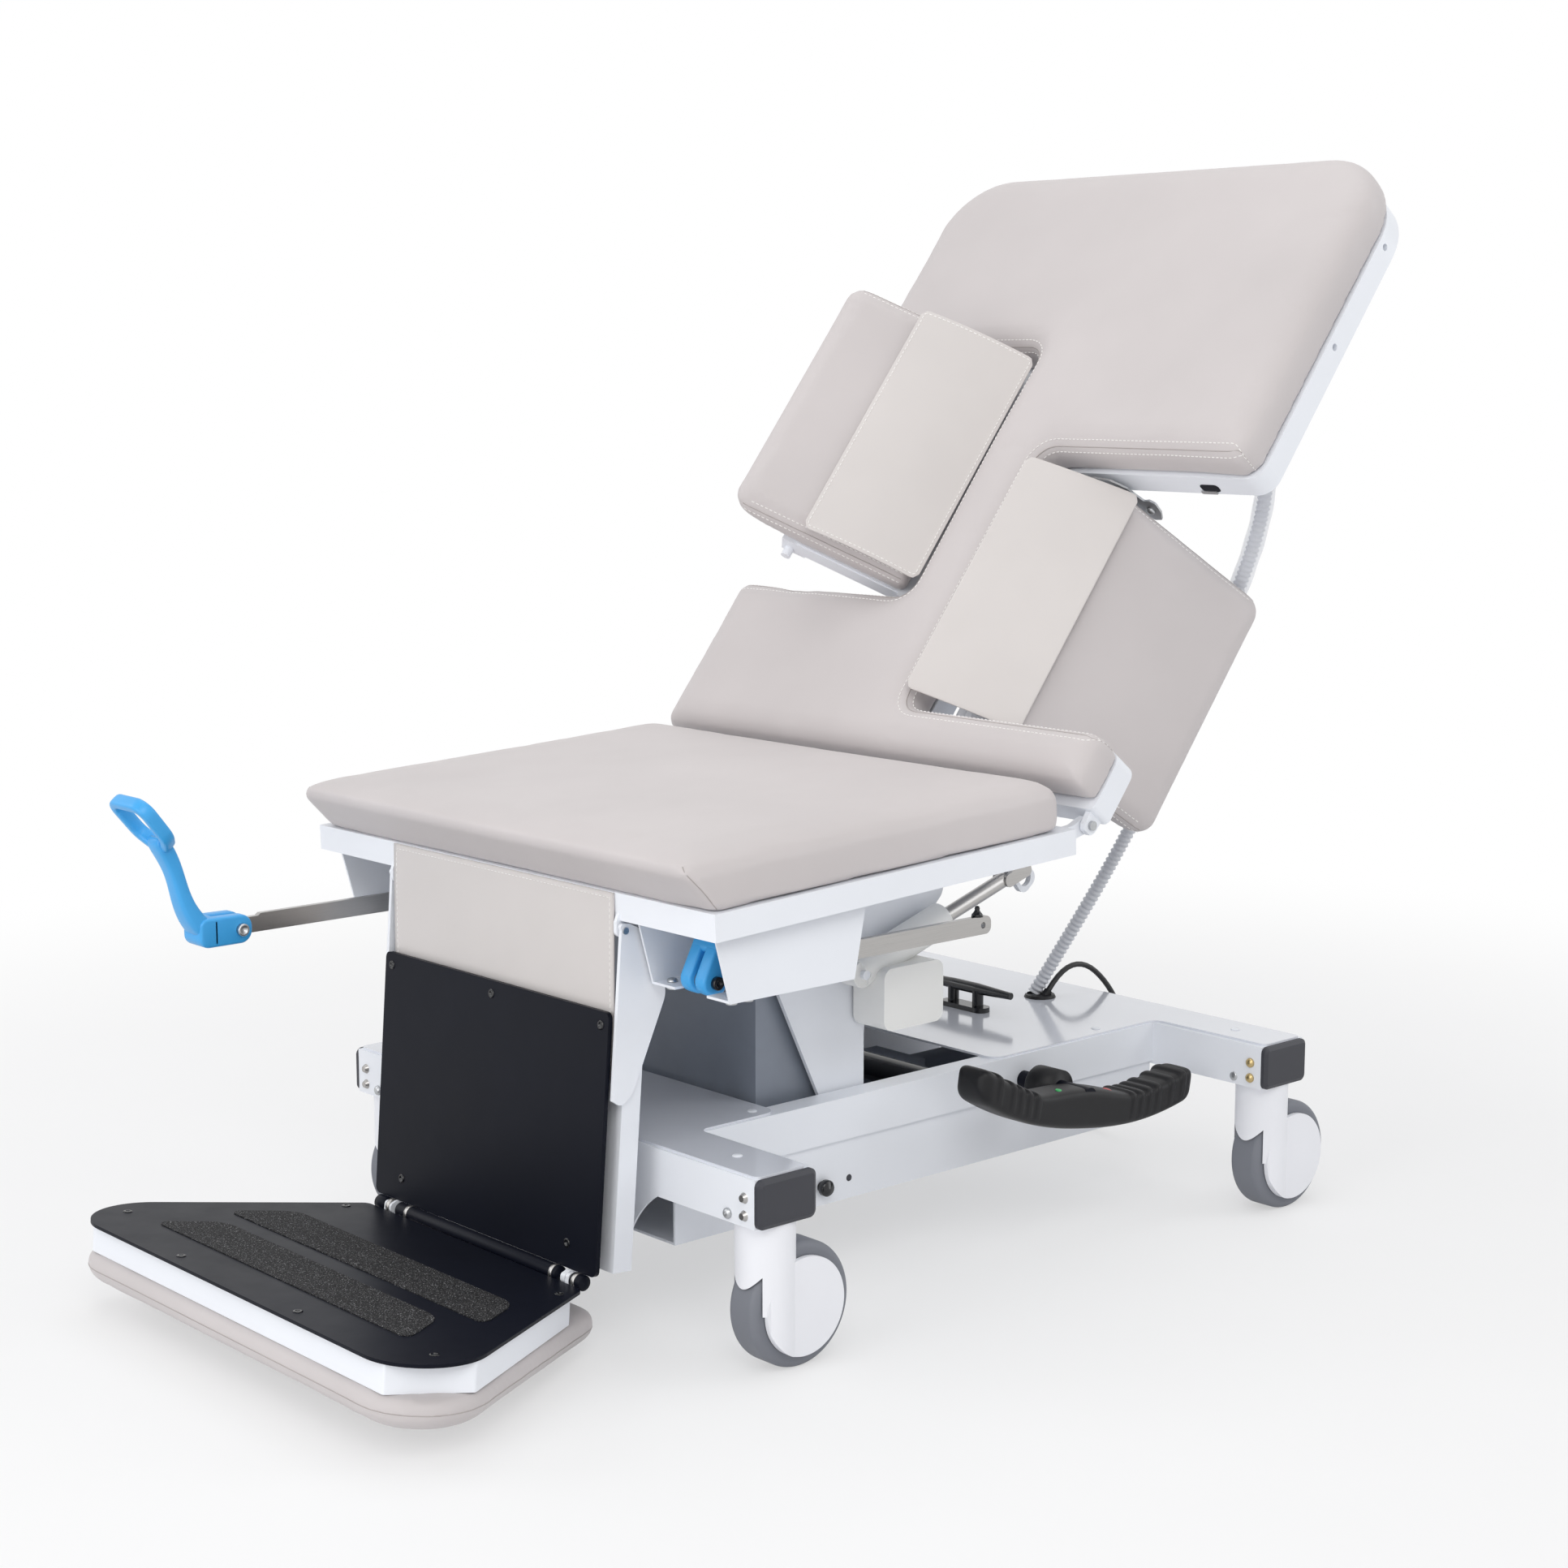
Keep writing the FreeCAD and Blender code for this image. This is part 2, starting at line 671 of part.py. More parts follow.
# Seat cushion: sides drawn in, crowned, its front face leaning out over the leg section
def seat_cushion():
    levels = ((seat_tall, 3.0, 5.0, 4.0), (40.0, -5.0, 0.0, 0.0), (78.0, -38.0, 0.0, 0.0),
              (90.0, -40.0, 9.0, 8.0), (96.0, -12.0, 35.0, 34.0), (99.0, 60.0, 101.0, 104.0))
    wires = []
    for height, front, side_inset, rear_inset in levels:
        half = cushion_half - side_inset
        points = box_points(front, cushion_rear - rear_inset, -half, half)
        wires.append(outline("xy", points, [10.0, 26.0, 26.0, 10.0], height))
    return placed(Part.makeLoft(wires, True, True), seat_place)


# Pocket: floor and two walls under a front corner of the seat, open at both ends, with bar guides
def pocket(side):
    y = side * pocket_y
    low = y - pocket_half
    high = y + pocket_half
    floor = pocket_floor - sheet
    top_front = seat_front + 8
    wall = [(pocket_front, floor), (pocket_rear, floor), (pocket_top_rear, seat_inside(pocket_top_rear)),
            (top_front, seat_inside(top_front))]
    square = [0.0] * 4
    pieces = [plate("xz", wall, square, low, low + sheet), plate("xz", wall, square, high - sheet, high)]
    base = block(pocket_front, pocket_rear, low, high, floor, pocket_floor)
    notch_half = loop_fork_half + 2 * sheet
    notch = block(pocket_front, near_pivot_x + notch_half, y - notch_half, y + notch_half,
                  floor, pocket_floor)
    pieces.append(base.cut(notch))
    guide_gap = bar_thick / 2 + air
    for face in (-1, 1):
        inner = y + face * guide_gap
        outer = y + face * (guide_gap + 6)
        pieces.append(block(pocket_rear - 30, pocket_rear - 4, min(inner, outer), max(inner, outer),
                            floor, bar_bottom + bar_tall / 3))
    return joined(pieces)


def seat_bolts():
    bolts = []
    for side in (-1, 1):
        for dx in (16.0, 40.0):
            for dy in (-52.0, 52.0):
                foot = Vector(pocket_front + dx, side * pocket_y + dy, pocket_floor - sheet - 5)
                bolts.append(rod(foot, foot + Vector(0, 0, 5), 13.0))
    return Part.makeCompound(bolts)


# Foot loop bar: a flat bar with a rounded pivot end and a step in its top edge
def stirrup_bar(side, pivot_x):
    y = side * pocket_y
    end = pivot_x + bar_length
    top = bar_bottom + bar_tall
    points = [(pivot_x - 11, bar_bottom), (end, bar_bottom), (end, top), (pivot_x + 38, top),
              (pivot_x + 34, top - 3), (pivot_x - 11, top - 3)]
    bar = plate("xz", points, [9.5, 9.0, 9.0, 1.0, 1.0, 9.5], y - bar_thick / 2, y + bar_thick / 2)
    pin = rod_y(pivot_x, bar_pivot_z, y - bar_thick, y + bar_thick, loop_bolt_dia + 2 * running_gap)
    stop_hole = rod_y(end - 14, bar_bottom + bar_tall / 2, y - bar_thick, y + bar_thick, loop_bolt_dia)
    return bar.cut(pin).cut(stop_hole)


# Foot loop: a forked knuckle with its bolt, a bent arm and a ring
def stirrup_loop():
    half = loop_fork_half
    knuckle = [(-58.0, -18.0), (16.0, -18.0), (16.0, 18.0), (-30.0, 20.0), (-58.0, 20.0)]
    pieces = [plate("xz", knuckle, [14.0, 15.0, 15.0, 4.0, 10.0], -half, half)]
    arm = [(-52.0, -10.0), (-34.0, 16.0), (-54.0, 38.0), (-68.0, 78.0), (-80.0, 110.0), (-106.0, 104.0),
           (-94.0, 72.0), (-79.0, 24.0)]
    pieces.append(plate("xz", arm, [0.0, 6.0, 20.0, 30.0, 4.0, 4.0, 30.0, 20.0], -14.0, 14.0))
    ring_points = box_points(loop_ring_start, loop_ring_end, -loop_ring_half, loop_ring_half)
    low = 3.0 - loop_depth / 2
    ring = plate("xy", ring_points, [40.0] * 4, low, low + loop_depth)
    ring = ring.cut(plate("xy", ring_points, [40.0] * 4, low, low + loop_depth, loop_band))
    lean = Placement(Vector(0, 0, 0), Rotation(side_axis, -loop_lean))
    opening = placed(plate("xy", ring_points, [40.0] * 4, low, low + loop_depth, loop_band), lean)
    loop = joined(pieces).cut(opening).fuse(placed(ring, lean)).removeSplitter()
    slot = bar_thick / 2 + air + 0.1
    loop = loop.cut(block(-34.0, 40.0, -slot, slot, -40.0, 40.0))
    return loop.fuse(rod_y(0, 0, -half - 3, half + 3, loop_bolt_dia)).removeSplitter()


def loop_place(side, pivot_x, fold):
    return Placement(Vector(pivot_x, side * pocket_y, bar_pivot_z), Rotation(side_axis, fold))


# Front flap: vinyl from under the cushion, hanging in front of the seat frame with a soft bow
def front_flap():
    x = seat_front - 2.0
    top = seat_bottom + seat_tall - 1
    bend = seat_bottom - 40
    points = [(x, top), (x - flap_thick, top), (x - flap_thick - 1, bend), (x - flap_thick, flap_hem),
              (x, flap_hem), (x - 1, bend)]
    return plate("xz", points, [0.0, 0.0, 300.0, 0.0, 0.0, 300.0], -flap_half, flap_half)


def leg_panel():
    points = box_points(-leg_panel_half, leg_panel_half, leg_panel_bottom, leg_panel_top)
    panel = round_plate("yz", points, 8.0, leg_panel_front, leg_panel_front + leg_panel_thick)
    return placed(panel, leg_place)


# Leg frame: hollow box, spacers to the panel, swing arms, lugs and pins of the foot hinge
def leg_frame():
    back = leg_box_front + leg_box_deep
    top = leg_panel_top - 4
    bottom = leg_panel_bottom + 3
    box = block(leg_box_front, back, -leg_box_half, leg_box_half, bottom, top)
    box = box.cut(block(leg_box_front + sheet, back, -leg_box_half + sheet, leg_box_half - sheet,
                        bottom + sheet, top - sheet))
    pieces = [box]
    panel_back = leg_panel_front + leg_panel_thick
    for y in (-150.0, 150.0):
        for z in (-235.0, -385.0):
            pieces.append(rod(Vector(panel_back, y, z), Vector(leg_box_front, y, z), 20.0))
    arm = [(panel_back, 0.0), (panel_back, -198.0), (8.0, -206.0), (24.0, -192.0), (66.0, -77.0),
           (44.0, -8.0), (6.0, leg_arm_top), (panel_back - 4, leg_arm_top)]
    arms = plate("xz", arm, [0.0, 0.0, 10.0, 30.0, 30.0, 20.0, 6.0, 4.0],
                 leg_box_half, leg_box_half + leg_arm_thick)
    pieces += both_sides(arms)
    low = foot_lug_y
    lug = [(foot_hinge_x - 8, foot_hinge_z - 8), (foot_hinge_x + 8, foot_hinge_z - 8), (back, bottom),
           (leg_box_front, bottom), (foot_hinge_x, foot_hinge_z + 8), (foot_hinge_x - 8, foot_hinge_z + 4)]
    pieces += both_sides(plate("xz", lug, [7.0, 7.0, 0.0, 0.0, 3.0, 5.0], low, low + 8))
    pieces += both_sides(rod_y(foot_hinge_x, foot_hinge_z, low, low + 18, foot_pin_dia))
    frame = joined(pieces)
    for y in (-1, 1):
        frame = frame.cut(rod_y(0, 0, y * (leg_box_half - 1), y * (leg_box_half + leg_arm_thick + 1),
                                leg_pin_dia + 2 * running_gap))
    return placed(frame, leg_place)


# Foot outline: narrow at the hinge, wide and well rounded at the free edge
def foot_half(reach):
    spread = (foot_tip_half - foot_root_half) / (foot_reach - foot_start)
    return foot_root_half + spread * (reach - foot_start)


def foot_points(start, end):
    root = foot_hinge_x - start
    tip = foot_hinge_x - end
    right = [(root, foot_half(start)), (tip, foot_half(end))]
    return [(root, -foot_half(start))] + right + [(tip, -foot_half(end))]


foot_radii = [14.0, 14.0, foot_tip_radius, foot_tip_radius]
foot_top = foot_hinge_z - 3


def foot_plate():
    points = foot_points(foot_start, foot_reach)
    return placed(plate("xy", points, foot_radii, foot_top - foot_plate_thick, foot_top), leg_place)


# Foot frame outline: inside the plate's, with straight cuts in place of its round corners
def frame_points():
    root = foot_hinge_x - foot_start - foot_frame_inset - 10
    tip = foot_hinge_x - foot_reach + foot_frame_inset
    along, across = foot_frame_chamfer
    root_half = foot_half(foot_hinge_x - root) - foot_frame_inset
    tip_half = foot_tip_half - foot_frame_inset
    slant = foot_half(foot_reach - along) - foot_frame_inset
    right = [(root, root_half), (tip + along, slant), (tip, tip_half - across)]
    return [(x, -y) for x, y in right[:1]] + right + [(x, -y) for x, y in right[:0:-1]]


def foot_frame():
    high = foot_top - foot_plate_thick
    low = high - foot_frame_tall
    radii = [4.0] * 6
    frame = plate("xy", frame_points(), radii, low, high)
    frame = frame.cut(plate("xy", frame_points(), radii, low, high - sheet, sheet))
    room = plate("xy", frame_points(), radii, low, high - sheet, 2 * sheet)
    near = foot_lug_y + 9
    front = foot_hinge_x - foot_start - foot_frame_inset
    lug = [(front - 12, low), (front + 8, low), (foot_hinge_x + 8, foot_hinge_z - 6),
           (foot_hinge_x + 6, foot_hinge_z + 7), (foot_hinge_x - 7, foot_hinge_z + 7),
           (foot_hinge_x - 8, high), (front - 12, high)]
    lugs = both_sides(plate("xz", lug, [0.0, 6.0, 6.0, 5.0, 5.0, 0.0, 0.0], near, near + 6))
    frame = joined([frame] + [piece.cut(room) for piece in lugs])
    for y in (-1, 1):
        frame = frame.cut(rod_y(foot_hinge_x, foot_hinge_z, y * near, y * (near + 6),
                                foot_pin_dia + 2 * running_gap))
    return placed(frame, leg_place)


# Foot cushion: under the frame, reaching back below the hinge, crowned downwards
def foot_cushion():
    top = foot_top - foot_plate_thick - foot_frame_tall
    over = -foot_pad_over
    steps = ((0.0, 8.0), (0.12, over + 3), (0.35, over), (0.6, over + 3), (0.86, 10.0), (1.0, 40.0))
    points = foot_points(-foot_pad_behind, foot_reach)
    radii = [40.0, 40.0, foot_tip_radius, foot_tip_radius]
    wires = [outline("xy", points, radii, top - foot_pad_thick * s, inset) for s, inset in steps]
    return placed(Part.makeLoft(wires, True, True), leg_place)


# Grip strips across the plate, with slanted rounded ends
def foot_grips():
    half_start, half_end = foot_strip_halves
    strips = []
    for start, end in foot_strips:
        x_start = foot_hinge_x - start
        x_end = foot_hinge_x - end
        points = [(x_start, -half_start), (x_start, half_start), (x_end, half_end), (x_end, -half_end)]
        strips.append(plate("xy", points, [40.0, 40.0, 10.0, 10.0], foot_top, foot_top + foot_strip_thick))
    return placed(Part.makeCompound(strips), leg_place)


# Back outline: lower strip, neck between the two cut-outs, upper part with round corners
def back_points(start, end, half, neck):
    points = [(start, -half), (near_cut[0], -half), (near_cut[0], -neck), (near_cut[1], -neck),
              (near_cut[1], -half), (end, -half), (end, half), (far_cut[1], half), (far_cut[1], neck),
              (far_cut[0], neck), (far_cut[0], half), (start, half)]
    radii = [8.0, 20.0, 20.0, 20.0, 25.0, back_corner, back_corner, 25.0, 20.0, 20.0, 20.0, 8.0]
    return points, radii


# Straight bars of a rim, one between each two bent corners
def rim_bars(points, radii, low, high):
    outer = corner_arcs(points, radii, 0.0)
    inner = corner_arcs(points, radii, sheet)
    bars = []
    for i in range(len(points)):
        j = (i + 1) % len(points)
        quad = [outer[i][2], outer[j][0], inner[j][0], inner[i][2]]
        bars.append(plate("xy", quad, [0.0] * len(quad), low, high))
    return bars


# Back frame: a rim welded from bars and bent corners, with ears, lever, rod holes and accessory bosses
def back_frame():
    points, radii = back_points(back_start, back_end, back_half, neck_half)
    rim_top = back_deep - sheet
    rim = plate("xy", points, radii, -back_deep, rim_top)
    rim = rim.cut(plate("xy", points, radii, -back_deep, rim_top, sheet))
    ear = [(-11.0, -7.0), (-4.0, -11.0), (back_start + 30, -back_deep + 1), (back_start + 30, rim_top),
           (-4.0, 11.0), (-11.0, 7.0)]
    ears = both_sides(plate("xz", ear, [4.0, 6.0, 0.0, 0.0, 6.0, 4.0], back_ear_y,
                            back_ear_y + back_ear_thick))
    bosses = []
    for x in accessory_x:
        bosses += both_sides(block(x - 12, x + 12, back_half - accessory_depth, back_half - sheet,
                                   accessory_z - 9, accessory_z + 9))
    bars = []
    for bar in rim_bars(points, radii, -back_deep, rim_top):
        carried = [boss for boss in bosses if boss.distToShape(bar)[0] < touching]
        bars.append(joined([bar] + carried) if carried else bar)
    corners = rim.cut(bars).Solids
    lugs = [solid for piece in ears + [lever()] for solid in piece.cut(bars + corners).Solids]
    cuts = [hinge_rod(-1), hinge_rod(1)]
    for y in (-1, 1):
        ear_end = y * (back_ear_y + back_ear_thick)
        cuts.append(rod_y(0, 0, y * back_ear_y, ear_end, back_pin_dia + 2 * running_gap))
        for x in accessory_x:
            bottom = y * (back_half - accessory_depth)
            cuts.append(rod_y(x, accessory_z, bottom, y * back_half, accessory_dia))
    solids = [solid for piece in bars + corners + lugs for solid in piece.cut(cuts).Solids]
    return placed(Part.makeCompound(solids), back_place)


# Board on the frame, under the cushion, with the hose's socket behind it
def back_board():
    points, radii = back_points(back_start, back_end, back_half, neck_half)
    board = plate("xy", points, radii, back_deep - sheet, back_deep)
    low = Vector(hose_top_u, hose_top_v, -back_deep)
    high = Vector(hose_top_u, hose_top_v, back_deep - sheet)
    return placed(joined([board, rod(low, high, hose_dia + 12)]), back_place)


# Lever: a rib across the frame's lower strip, reaching down, with a slot for the actuator's pin
def lever():
    lean = math.radians(lever_rest_turn + actuator_rise() - back_angle - 90)
    along = Vector(math.cos(lean), 0, math.sin(lean))
    place = Placement(Vector(0, 0, 0), Rotation(side_axis, -math.degrees(lean)))
    near, far = lever_slot_reach
    wide = lever_slot_width / 2
    low = actuator_y - lever_thick / 2
    high = actuator_y + lever_thick / 2
    edge = wide + lever_rim
    tip = round_plate("xz", box_points(near - 40, far + edge, -edge, edge), 12.0, low, high)
    slot = round_plate("xz", box_points(near - wide, far + wide, -wide, wide), wide - 0.1, low - 1, high + 1)
    root_points = [(back_start + sheet, -back_deep + 1), (along.x * near - 18, along.z * near + 20),
                   (along.x * near + 26, along.z * near + 20), (near_cut[0] - sheet, -back_deep + 1),
                   (near_cut[0] - sheet, back_deep - sheet), (back_start + sheet, back_deep - sheet)]
    root = plate("xz", root_points, [0.0] * 6, low, high)
    return joined([placed(tip, place), root]).cut(placed(slot, place))


# Angle of the actuator's line above level, worked out from the lever's circle
def actuator_rise():
    dx = back_pivot_x - actuator_eye_x
    dz = back_pivot_z - actuator_eye_z
    return math.degrees(math.atan2(dz, dx) - math.asin(lever_radius / math.hypot(dx, dz)))


# Places along the actuator's line, measured from its rear eye
def actuator_line():
    rise = math.radians(actuator_rise())
    heading = Vector(math.cos(rise), 0, math.sin(rise))
    eye = Vector(actuator_eye_x, actuator_y, actuator_eye_z)
    to_pivot = Vector(back_pivot_x, actuator_y, back_pivot_z) - eye
    square = to_pivot.dot(heading)
    return eye, heading, square + lever_radius * math.tan(math.radians(lever_rest_turn))


# Actuator: tube, motor block below it and rear eye
def back_actuator():
    eye, heading = actuator_line()[:2]
    tube = rod(eye, eye + heading * actuator_bore_end, actuator_tube_dia)
    motor = round_plate("xz", box_points(-135, -31, 321, 401), 14.0, actuator_y - 36, actuator_y + 20)
    body = joined([tube, motor, rod_y(eye.x, eye.z, actuator_y - 14, actuator_y + 14, 34.0)])
    bore = rod(eye + heading * actuator_bore_start, eye + heading * actuator_bore_end,
               actuator_rod_dia + 2 * running_gap)
    pin = rod_y(eye.x, eye.z, actuator_y - 40, actuator_y + 40, lever_pin_dia + 2 * running_gap)
    return body.cut(bore).cut(pin)


# Rod: shaft, fork and the pin that runs in the lever's slot
def actuator_rod():
    eye, heading, reach = actuator_line()
    place = Placement(eye, Rotation(side_axis, -actuator_rise()))
    inner = lever_thick / 2 + 2
    outer = inner + 6
    half = fork_tall / 2
    root = reach - fork_slot - fork_base
    fork = round_plate("xz", box_points(root, reach + half + 4, -half, half), half - 1, -outer, outer)
    fork = fork.cut(block(reach - fork_slot, reach + 2 * half, -inner, inner, -half, half))
    shaft = rod(Vector(rod_start, 0, 0), Vector(root + fork_base / 2, 0, 0), actuator_rod_dia)
    return placed(joined([shaft, fork, rod_y(reach, 0, -outer, outer, lever_pin_dia)]), place)


def back_cushion():
    points, radii = back_points(back_start + 7, back_end + 13, back_half + back_pad_over, neck_half + 3)
    wires = [outline("xy", points, radii, height, inset) for height, inset in back_levels]
    return placed(Part.makeLoft(wires, True, True), back_place)


def pad_span(side):
    cut = near_cut if side < 0 else far_cut
    middle = (cut[0] + cut[1]) / 2
    return middle - pad_length / 2, middle + pad_length / 2


def hinge_rod(side):
    cut = near_cut if side < 0 else far_cut
    y = side * pad_axis_y
    return rod(Vector(cut[0] - 30, y, pad_axis_z), Vector(cut[1] + 30, y, pad_axis_z), pad_rod_dia)


def pad_hinge_rods():
    return placed(Part.makeCompound([hinge_rod(-1), hinge_rod(1)]), back_place)


# A pad is drawn flush, then turned about its hinge axis to where the photograph shows it
def pad_place(side):
    turn = near_pad_drop if side < 0 else far_pad_raise
    local = Placement(Vector(0, side * pad_axis_y, pad_axis_z), Rotation(Vector(1, 0, 0), turn))
    return back_place.multiply(local)


def on_side(side, shape):
    return shape if side > 0 else shape.mirror(Vector(0, 0, 0), Vector(0, 1, 0))


# Tray: hinge barrel, web, backing plate, stiffening channel and latch pin
def pad_tray(side):
    start, end = pad_span(side)
    barrel = rod(Vector(start, 0, 0), Vector(end, 0, 0), 2 * pad_rod_dia)
    web = block(start, end, -6, 30, 0, pad_back)
    backing = block(start + 6, end - 6, pad_inner + 4, pad_foot - 10, pad_back - sheet, pad_back)
    edge = pad_foot - 21
    channel = block(start + 4, end - 4, 24, edge, -4, pad_back - sheet)
    hollow = block(start + 4 + sheet, end - 4 - sheet, 30 + sheet, edge - sheet, -4, pad_back - 2 * sheet)
    latch_block = block(start + 4, end - 4, edge - sheet, pad_foot + 12, -9, pad_back - sheet)
    latch = rod(Vector(start - latch_proud, pad_foot, 0), Vector(end + latch_proud, pad_foot, 0), latch_dia)
    tray = joined([barrel, web, backing, channel.cut(hollow), latch_block, latch])
    bore = rod(Vector(start, 0, 0), Vector(end, 0, 0), pad_rod_dia + 2 * running_gap)
    return placed(on_side(side, tray.cut(bore)), pad_place(side))


def pad_cushion(side):
    start, end = pad_span(side)
    wires = []
    for height, outer, inset in pad_levels:
        points = box_points(start, end, pad_inner - inset / 2, outer + inset)
        wires.append(outline("xy", points, [12.0, 12.0, 30.0, 30.0], height, inset))
    return placed(on_side(side, Part.makeLoft(wires, True, True)), pad_place(side))


# Pad flap: a bowed vinyl strip from the neck's edge to over the pad
def pad_flap(side, inner, outer, bow):
    start, end = pad_span(side)
    middle = (start + end) / 2
    chord = Vector(outer[0] - inner[0], outer[1] - inner[1], 0)
    normal = Vector(-chord.y, chord.x, 0).normalize() * side
    place = planes["yz"][0]
    faces = []
    for lift in (0.0, pad_flap_thick):
        line = []
        for t, rise in ((0.0, lift), (0.5, lift + bow), (1.0, lift)):
            spot = Vector(*inner, 0) + chord * t + normal * rise
            line.append(place(side * spot.x, spot.y, middle - pad_flap_length / 2))
        faces.append(line)
    low, high = faces
    edges = [
        Part.Arc(*low).toShape(),
        Part.LineSegment(low[2], high[2]).toShape(),
        Part.Arc(high[2], high[1], high[0]).toShape(),
        Part.LineSegment(high[0], low[0]).toShape(),
    ]
    return placed(Part.Face(Part.Wire(edges)).extrude(Vector(pad_flap_length, 0, 0)), back_place)


# Points and headings along a curve with four control points, four to each whole rib
def curve_points(controls, pitch):
    fine = 400
    points = []
    for i in range(fine + 1):
        t = i / fine
        weights = ((1 - t) ** 3, 3 * t * (1 - t) ** 2, 3 * t * t * (1 - t), t ** 3)
        spot = Vector(0, 0, 0)
        for weight, control in zip(weights, controls):
            spot = spot + control * weight
        points.append(spot)
    lengths = [0.0]
    for i in range(fine):
        lengths.append(lengths[-1] + (points[i + 1] - points[i]).Length)
    count = 4 * int(round(lengths[-1] / pitch))
    picked = []
    j = 0
    for k in range(count + 1):
        target = lengths[-1] * k / count
        while j < fine - 1 and lengths[j + 1] < target:
            j += 1
        share = (target - lengths[j]) / (lengths[j + 1] - lengths[j])
        heading = (points[j + 1] - points[j]).normalize()
        picked.append((points[j] + (points[j + 1] - points[j]) * share, heading))
    return picked


# Ribbed hose: a ruled shell through four circles to a rib, a plain bore and two ring ends
def ribbed_hose(controls):
    stations = curve_points(controls, hose_rib_pitch)
    count = len(stations) - 1
    outer = []
    inner = []
    for i, (spot, heading) in enumerate(stations):
        near_end = min(i, count - i) * hose_rib_pitch / 4 < hose_dia / 4
        dia = hose_dia if near_end or i % 4 < 2 else hose_groove_dia
        turn = Placement(spot, Rotation(Vector(1, 0, 0), Vector(0, 0, 1), heading, "ZXY"))
        for wires, size in ((outer, dia), (inner, hose_bore_dia)):
            ring = Part.Wire([Part.makeCircle(size / 2)])
            wires.append(placed(ring, turn))
    shells = [Part.makeLoft(outer, True, True), Part.makeLoft(inner[::4], True, True)]
    return shells[0].cut(shells[1])


def lower_hose():
    first = Vector(hose_base_heading).normalize()
    heading = Vector(hose_joint_heading).normalize()
    return ribbed_hose([hose_base, hose_base + first * hose_base_pull,
                        hose_joint - heading * hose_base_pull, hose_joint])


def upper_hose():
    end = back_place.multVec(Vector(hose_top_u, hose_top_v, -back_deep - air))
    inward = back_place.Rotation.multVec(Vector(0, 0, 1))
    heading = Vector(hose_joint_heading).normalize()
    start = hose_joint + heading * 2 * air
    return ribbed_hose([start, start + heading * hose_joint_pull, end - inward * hose_top_pull, end])


# Cord: straight runs joined by arcs that touch both runs
def mains_cord():
    spots = [Vector(*spot) for spot in cord_route]
    edges = []
    start = spots[0]
    radii = []
    for i in range(1, len(spots) - 1):
        back = spots[i - 1] - spots[i]
        ahead = spots[i + 1] - spots[i]
        reach = 0.45 * min(back.Length, ahead.Length)
        back.normalize()
        ahead.normalize()
        first = spots[i] + back * reach
        last = spots[i] + ahead * reach
        half_turn = (math.pi - back.getAngle(ahead)) / 2
        radius = reach / math.tan(half_turn)
        radii.append(round(radius, 1))
        inward = (back + ahead).normalize()
        middle = spots[i] + inward * (radius / math.cos(half_turn) - radius)
        edges.append(Part.LineSegment(start, first).toShape())
        edges.append(Part.Arc(first, middle, last).toShape())
        start = last
    edges.append(Part.LineSegment(start, spots[-1]).toShape())
    print("cord bend radii", radii)
    return tube_along(edges, cord_dia)


def tube_along(edges, dia):
    path = Part.Wire(edges)
    start = edges[0].valueAt(edges[0].FirstParameter)
    heading = edges[0].tangentAt(edges[0].FirstParameter)
    ring = Part.Wire([Part.makeCircle(dia / 2, start, heading)])
    tube = path.makePipeShell([ring], True, False)
    expected = path.Length * math.pi * dia * dia / 4
    print("tube length", round(path.Length), "volume ratio", round(tube.Volume / expected, 3))
    return tube


# Where the coil starts: on the cord's last point, turning left of its last run
def coil_frame():
    end = Vector(*cord_route[-1])
    heading = (end - Vector(*cord_route[-2])).normalize()
    left = Vector(-heading.y, heading.x, 0)
    return end + left * coil_outer, -left, heading


# The coil's line by turns: in along the floor, up half a turn inside, then out on top
def coil_spot(turns):
    inner = coil_outer - coil_pitch * coil_turns
    rise_end = coil_turns + 0.5
    if turns <= rise_end:
        radius = coil_outer - coil_pitch * turns
    elif turns <= rise_end + 0.5:
        radius = inner - coil_pitch / 2 + 2 * coil_pitch * (turns - rise_end)
    else:
        radius = inner + coil_pitch / 2 + coil_pitch * (turns - rise_end - 0.5)
    share = min(max((turns - coil_turns) / 0.5, 0.0), 1.0)
    height = cord_rise + coil_layer * share * share * (3 - 2 * share)
    centre, out, along = coil_frame()
    angle = 2 * math.pi * turns
    spot = centre + out * (radius * math.cos(angle)) + along * (radius * math.sin(angle))
    return Vector(spot.x, spot.y, height)


def coil_heading(turns):
    step = 0.01
    return (coil_spot(turns + step) - coil_spot(max(turns - step, 0.0))).normalize()


# An arc that leaves a spot along a heading, or the same arc run the other way
def arc_from(start, heading, end, backwards=False):
    chord = end - start
    bend = heading.getAngle(chord)
    aside = heading - chord * (heading.dot(chord) / chord.dot(chord))
    middle = start + chord * 0.5 + aside.normalize() * (chord.Length / 2 * math.tan(bend / 2))
    if backwards:
        return Part.Arc(end, middle, start).toShape()
    return Part.Arc(start, middle, end).toShape()


# Two arcs from one spot and heading to the next, meeting with a shared heading
def biarc(start, first, end, last):
    gap = end - start
    both = first + last
    spread = 2 * (1 - first.dot(last))
    reach = (-gap.dot(both) + math.sqrt(gap.dot(both) ** 2 + spread * gap.dot(gap))) / spread
    middle = (start + end + (first - last) * reach) * 0.5
    return [arc_from(start, first, middle), arc_from(end, last * -1, middle, True)]


